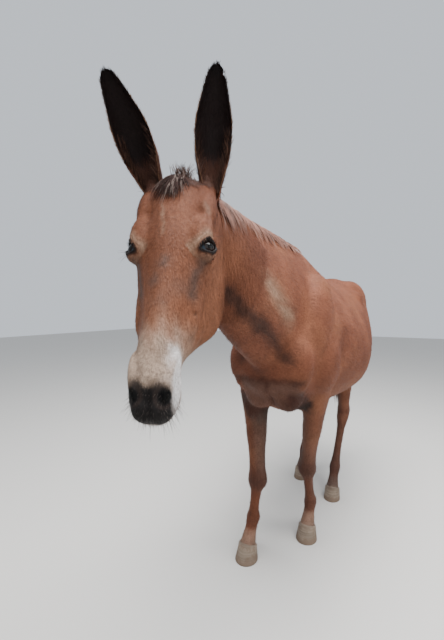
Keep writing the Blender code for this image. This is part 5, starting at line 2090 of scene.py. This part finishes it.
def eye_material():
    """A wet, dark eye."""
    shade = Shade("wet_eye", Specular_IOR_Level=0.14)
    spot = shade.attribute("eye_place", "Vector")
    x = shade.node("ShaderNodeSeparateXYZ", {}, {0: spot}, "X")
    y = shade.node("ShaderNodeSeparateXYZ", {}, {0: spot}, "Y")
    from_middle = shade.vector("LENGTH", shade.node("ShaderNodeCombineXYZ", {}, {"X": x, "Y": y}))
    pupil = shade.vector("LENGTH", shade.node("ShaderNodeCombineXYZ", {}, {"X": x * 2.1, "Y": y * 3.4}))
    fibre = shade.noise(spot, 14.0, 4.0)
    iris = shade.mix(fibre, solid((0.006, 0.003, 0.002)), solid((0.018, 0.008, 0.005)))
    colour = shade.mix(1.0 - pupil.between(0.85, 1.05), iris, solid((0.002, 0.002, 0.002)))
    # painted reflection: a blue-grey crescent at the rim, strongest on the nasal side
    painted_sky_reflection = from_middle.between(0.52, 0.66) * (1.0 - from_middle.between(0.74, 0.86))
    nasal = (x * 0.8 - y * 0.6).between(0.05, 0.50)
    colour = shade.mix(painted_sky_reflection * (nasal * 0.85 + 0.10), colour, solid((0.045, 0.060, 0.075)))
    colour = shade.mix(from_middle.between(0.80, 0.90), colour, solid((0.020, 0.012, 0.010)))
    return shade.finish(Base_Color=colour, Roughness=0.06)


EYE_MATERIAL = eye_material()


def eye(word, side):
    """An eyeball with a slight bulge of the cornea."""
    centre, looks, long, short = eye_axes(side)
    upward = upward_sign(short)
    turn = Matrix((long, short, looks)).transposed().to_4x4()
    made = ball("eye_" + word + "_wet", centre, (EYE_RADIUS - GAP,) * 3, turn, 64)
    away = points_of(made) - np.array(centre)
    own = away @ np.array([long, short * upward, looks]).T / EYE_RADIUS
    bulge = ramp(own[:, 2], 0.70, 0.95) * 0.0006
    put_points(made, np.array(centre) + away * (1 + bulge / EYE_RADIUS)[:, None])
    give(made, "eye_place", "FLOAT_VECTOR", own)
    dressed(made, EYE_MATERIAL)
    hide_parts("eye_" + word)


eye("left", 1)
eye("right", -1)
print("eyes", round((EYE_RADIUS - GAP) * 2000, 1), "mm across")

# %% [markdown]
# Horn grows down from the coronet in faint rings. Each hoof is a loft from the slanting coronet
# to the flat sole, with the wall a little hollow at the toe, heels pinched in, and a worn edge.

# %% Hooves


def horn_material():
    """Grey-tan horn with growth rings, fine upright grain, and dried mud towards the ground."""
    shade = Shade("dusty_horn", Specular_IOR_Level=0.2)
    where = shade.place()
    ringed = shade.node("ShaderNodeMapping", {}, {"Vector": where, "Scale": (6.0, 6.0, 150.0)})
    upright = shade.node("ShaderNodeMapping", {}, {"Vector": where, "Scale": (500.0, 500.0, 25.0)})
    rings = shade.noise(ringed, 1.0, 2.0)
    grain = shade.noise(upright, 1.0, 2.0)
    mud = shade.noise(where, 45.0, 5.0)
    up = shade.node("ShaderNodeSeparateXYZ", {}, {0: where}, "Z")
    low = 1.0 - up.between(0.0, 0.055)
    colour = shade.mix(rings.between(0.3, 0.7), solid((0.110, 0.080, 0.058)), solid((0.230, 0.175, 0.128)))
    colour = shade.mix(grain * 0.45, colour, solid((0.300, 0.240, 0.185)))
    dirt = (mud + low * 0.35).between(0.52, 0.80)
    colour = shade.mix(dirt * 0.85, colour, solid((0.150, 0.105, 0.075)))
    height = rings * 0.8 + grain * 0.15 + mud * 0.5
    normal = shade.node("ShaderNodeBump", {}, {"Strength": 0.6, "Distance": 0.0015, "Height": height})
    return shade.finish(Base_Color=colour, Roughness=0.55 + dirt * 0.35, Normal=normal)


HORN_MATERIAL = horn_material()
CORONET_HALF = (0.0435, 0.0470)


def hoof(name):
    """A hoof from the coronet to its flat sole on the ground."""
    coronet = joints_of(name)[3]
    x, y = FEET[name]["sole"]
    fore = name.startswith("fore")
    half_width, half_length = (0.0545, 0.0620) if fore else (0.0500, 0.0600)
    sides = 64
    tilt = Matrix.Rotation(-HOOF_TILT, 3, "X")
    rings = []
    for t, grow in (
        (0.00, 0.93), (0.03, 1.005), (0.10, 1.015), (0.18, 0.998), (0.32, 0.992), (0.46, 0.996),
        (0.60, 0.993), (0.74, 1.000), (0.88, 1.004), (0.955, 1.002), (0.985, 0.992), (1.00, 0.975),
    ):
        ring = []
        for j in range(sides):
            a = 2 * math.pi * j / sides
            across, back = math.cos(a), -math.sin(a)
            heel = max(0.0, back)
            pinch = 1 - 0.10 * heel**2
            cleft = 0.16 * t * math.exp(-((across / 0.20) ** 2)) * (back > 0)
            low = Vector((x + half_width * across * pinch, y + half_length * back * (1 - cleft), 0))
            high = coronet + tilt @ Vector((CORONET_HALF[0] * across, CORONET_HALF[1] * back, 0))
            where = high.lerp(low, t)
            middle = coronet.lerp(Vector((x, y, 0)), t)
            rise = where.z
            where = middle + (where - middle) * grow
            where.z = rise
            ring.append(where)
        rings.append(ring)
    made = loft("horn_" + name, rings)
    dressed(made, HORN_MATERIAL)
    made.data.set_sharp_from_angle(angle=math.radians(50))
    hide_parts("hoof_" + name.replace("leg", ""))


for leg_name in FEET:
    hoof(leg_name)
print("hooves", len(FEET))

# %% [markdown]
# The photograph was taken from close by with a short lens, at the height of the mule's throat.
# FOCAL_PIXELS is how many pixels something spans that is as wide as it is far from the camera,
# and the lens follows from it.

# %% Camera
PHOTO_SIZE = (444, 640)
FOCAL_PIXELS = 345
CAMERA_PLACE = Vector((0.524, -1.952, 1.22))
CAMERA_WAY = Vector((-0.489, 0.872, 0.0))
CAMERA_DIP = math.radians(1.8)

camera_data = bpy.data.cameras.new("camera")
camera_data.sensor_fit = "AUTO"
camera_data.sensor_width = 36
camera_data.lens = 36 * FOCAL_PIXELS / PHOTO_SIZE[1]
camera_data.clip_start = 0.05
camera = linked("camera", camera_data)
camera.location = CAMERA_PLACE + SHIFT
look = CAMERA_WAY.normalized() * math.cos(CAMERA_DIP) - Vector((0, 0, math.sin(CAMERA_DIP)))
camera.rotation_euler = look.to_track_quat("-Z", "Y").to_euler()
bpy.context.scene.camera = camera
print("camera lens", round(camera_data.lens, 1), "mm")

# %% [markdown]
# The day was overcast, so a pale sky and one large panel overhead give most of the light. Two
# weaker panels fill from the front and the left, and a pale floor lights the belly from below.

# %% Floor and light
FLOOR_SIZE = 30.0


def area_light(name, place, target, size, power, colour=(1, 1, 1)):
    """A large soft light aimed at a point."""
    data = bpy.data.lights.new(name, "AREA")
    data.shape = "SQUARE"
    data.size = size
    data.energy = power
    data.color = colour
    made = linked(name, data)
    made.location = place
    made.rotation_euler = (Vector(target) - Vector(place)).to_track_quat("-Z", "Y").to_euler()


half = FLOOR_SIZE / 2
corners = [(-half, -half, 0), (half, -half, 0), (half, half, 0), (-half, half, 0)]
floor = mesh_object("floor", corners, [(0, 1, 2, 3)])
paper = Shade("pale_floor", Roughness=0.85)
floor.data.materials.append(paper.finish(Base_Color=(0.58, 0.56, 0.53, 1.0)))
world = bpy.data.worlds.new("soft_sky")
world.use_nodes = True
world.node_tree.nodes["Background"].inputs["Color"].default_value = (0.86, 0.92, 1.0, 1.0)
world.node_tree.nodes["Background"].inputs["Strength"].default_value = 0.85
bpy.context.scene.world = world
area_light("sky_panel", (0.5, -0.4, 4.4), (0, 0, 1), 3.0, 420)
area_light("front_panel", (2.4, -3.0, 3.2), (0, -1.0, 1.2), 2.5, 55)
area_light("left_panel", (3.6, 0.4, 2.6), (0, 0, 1.0), 2.5, 40)
print("area lights", len(bpy.data.lights))
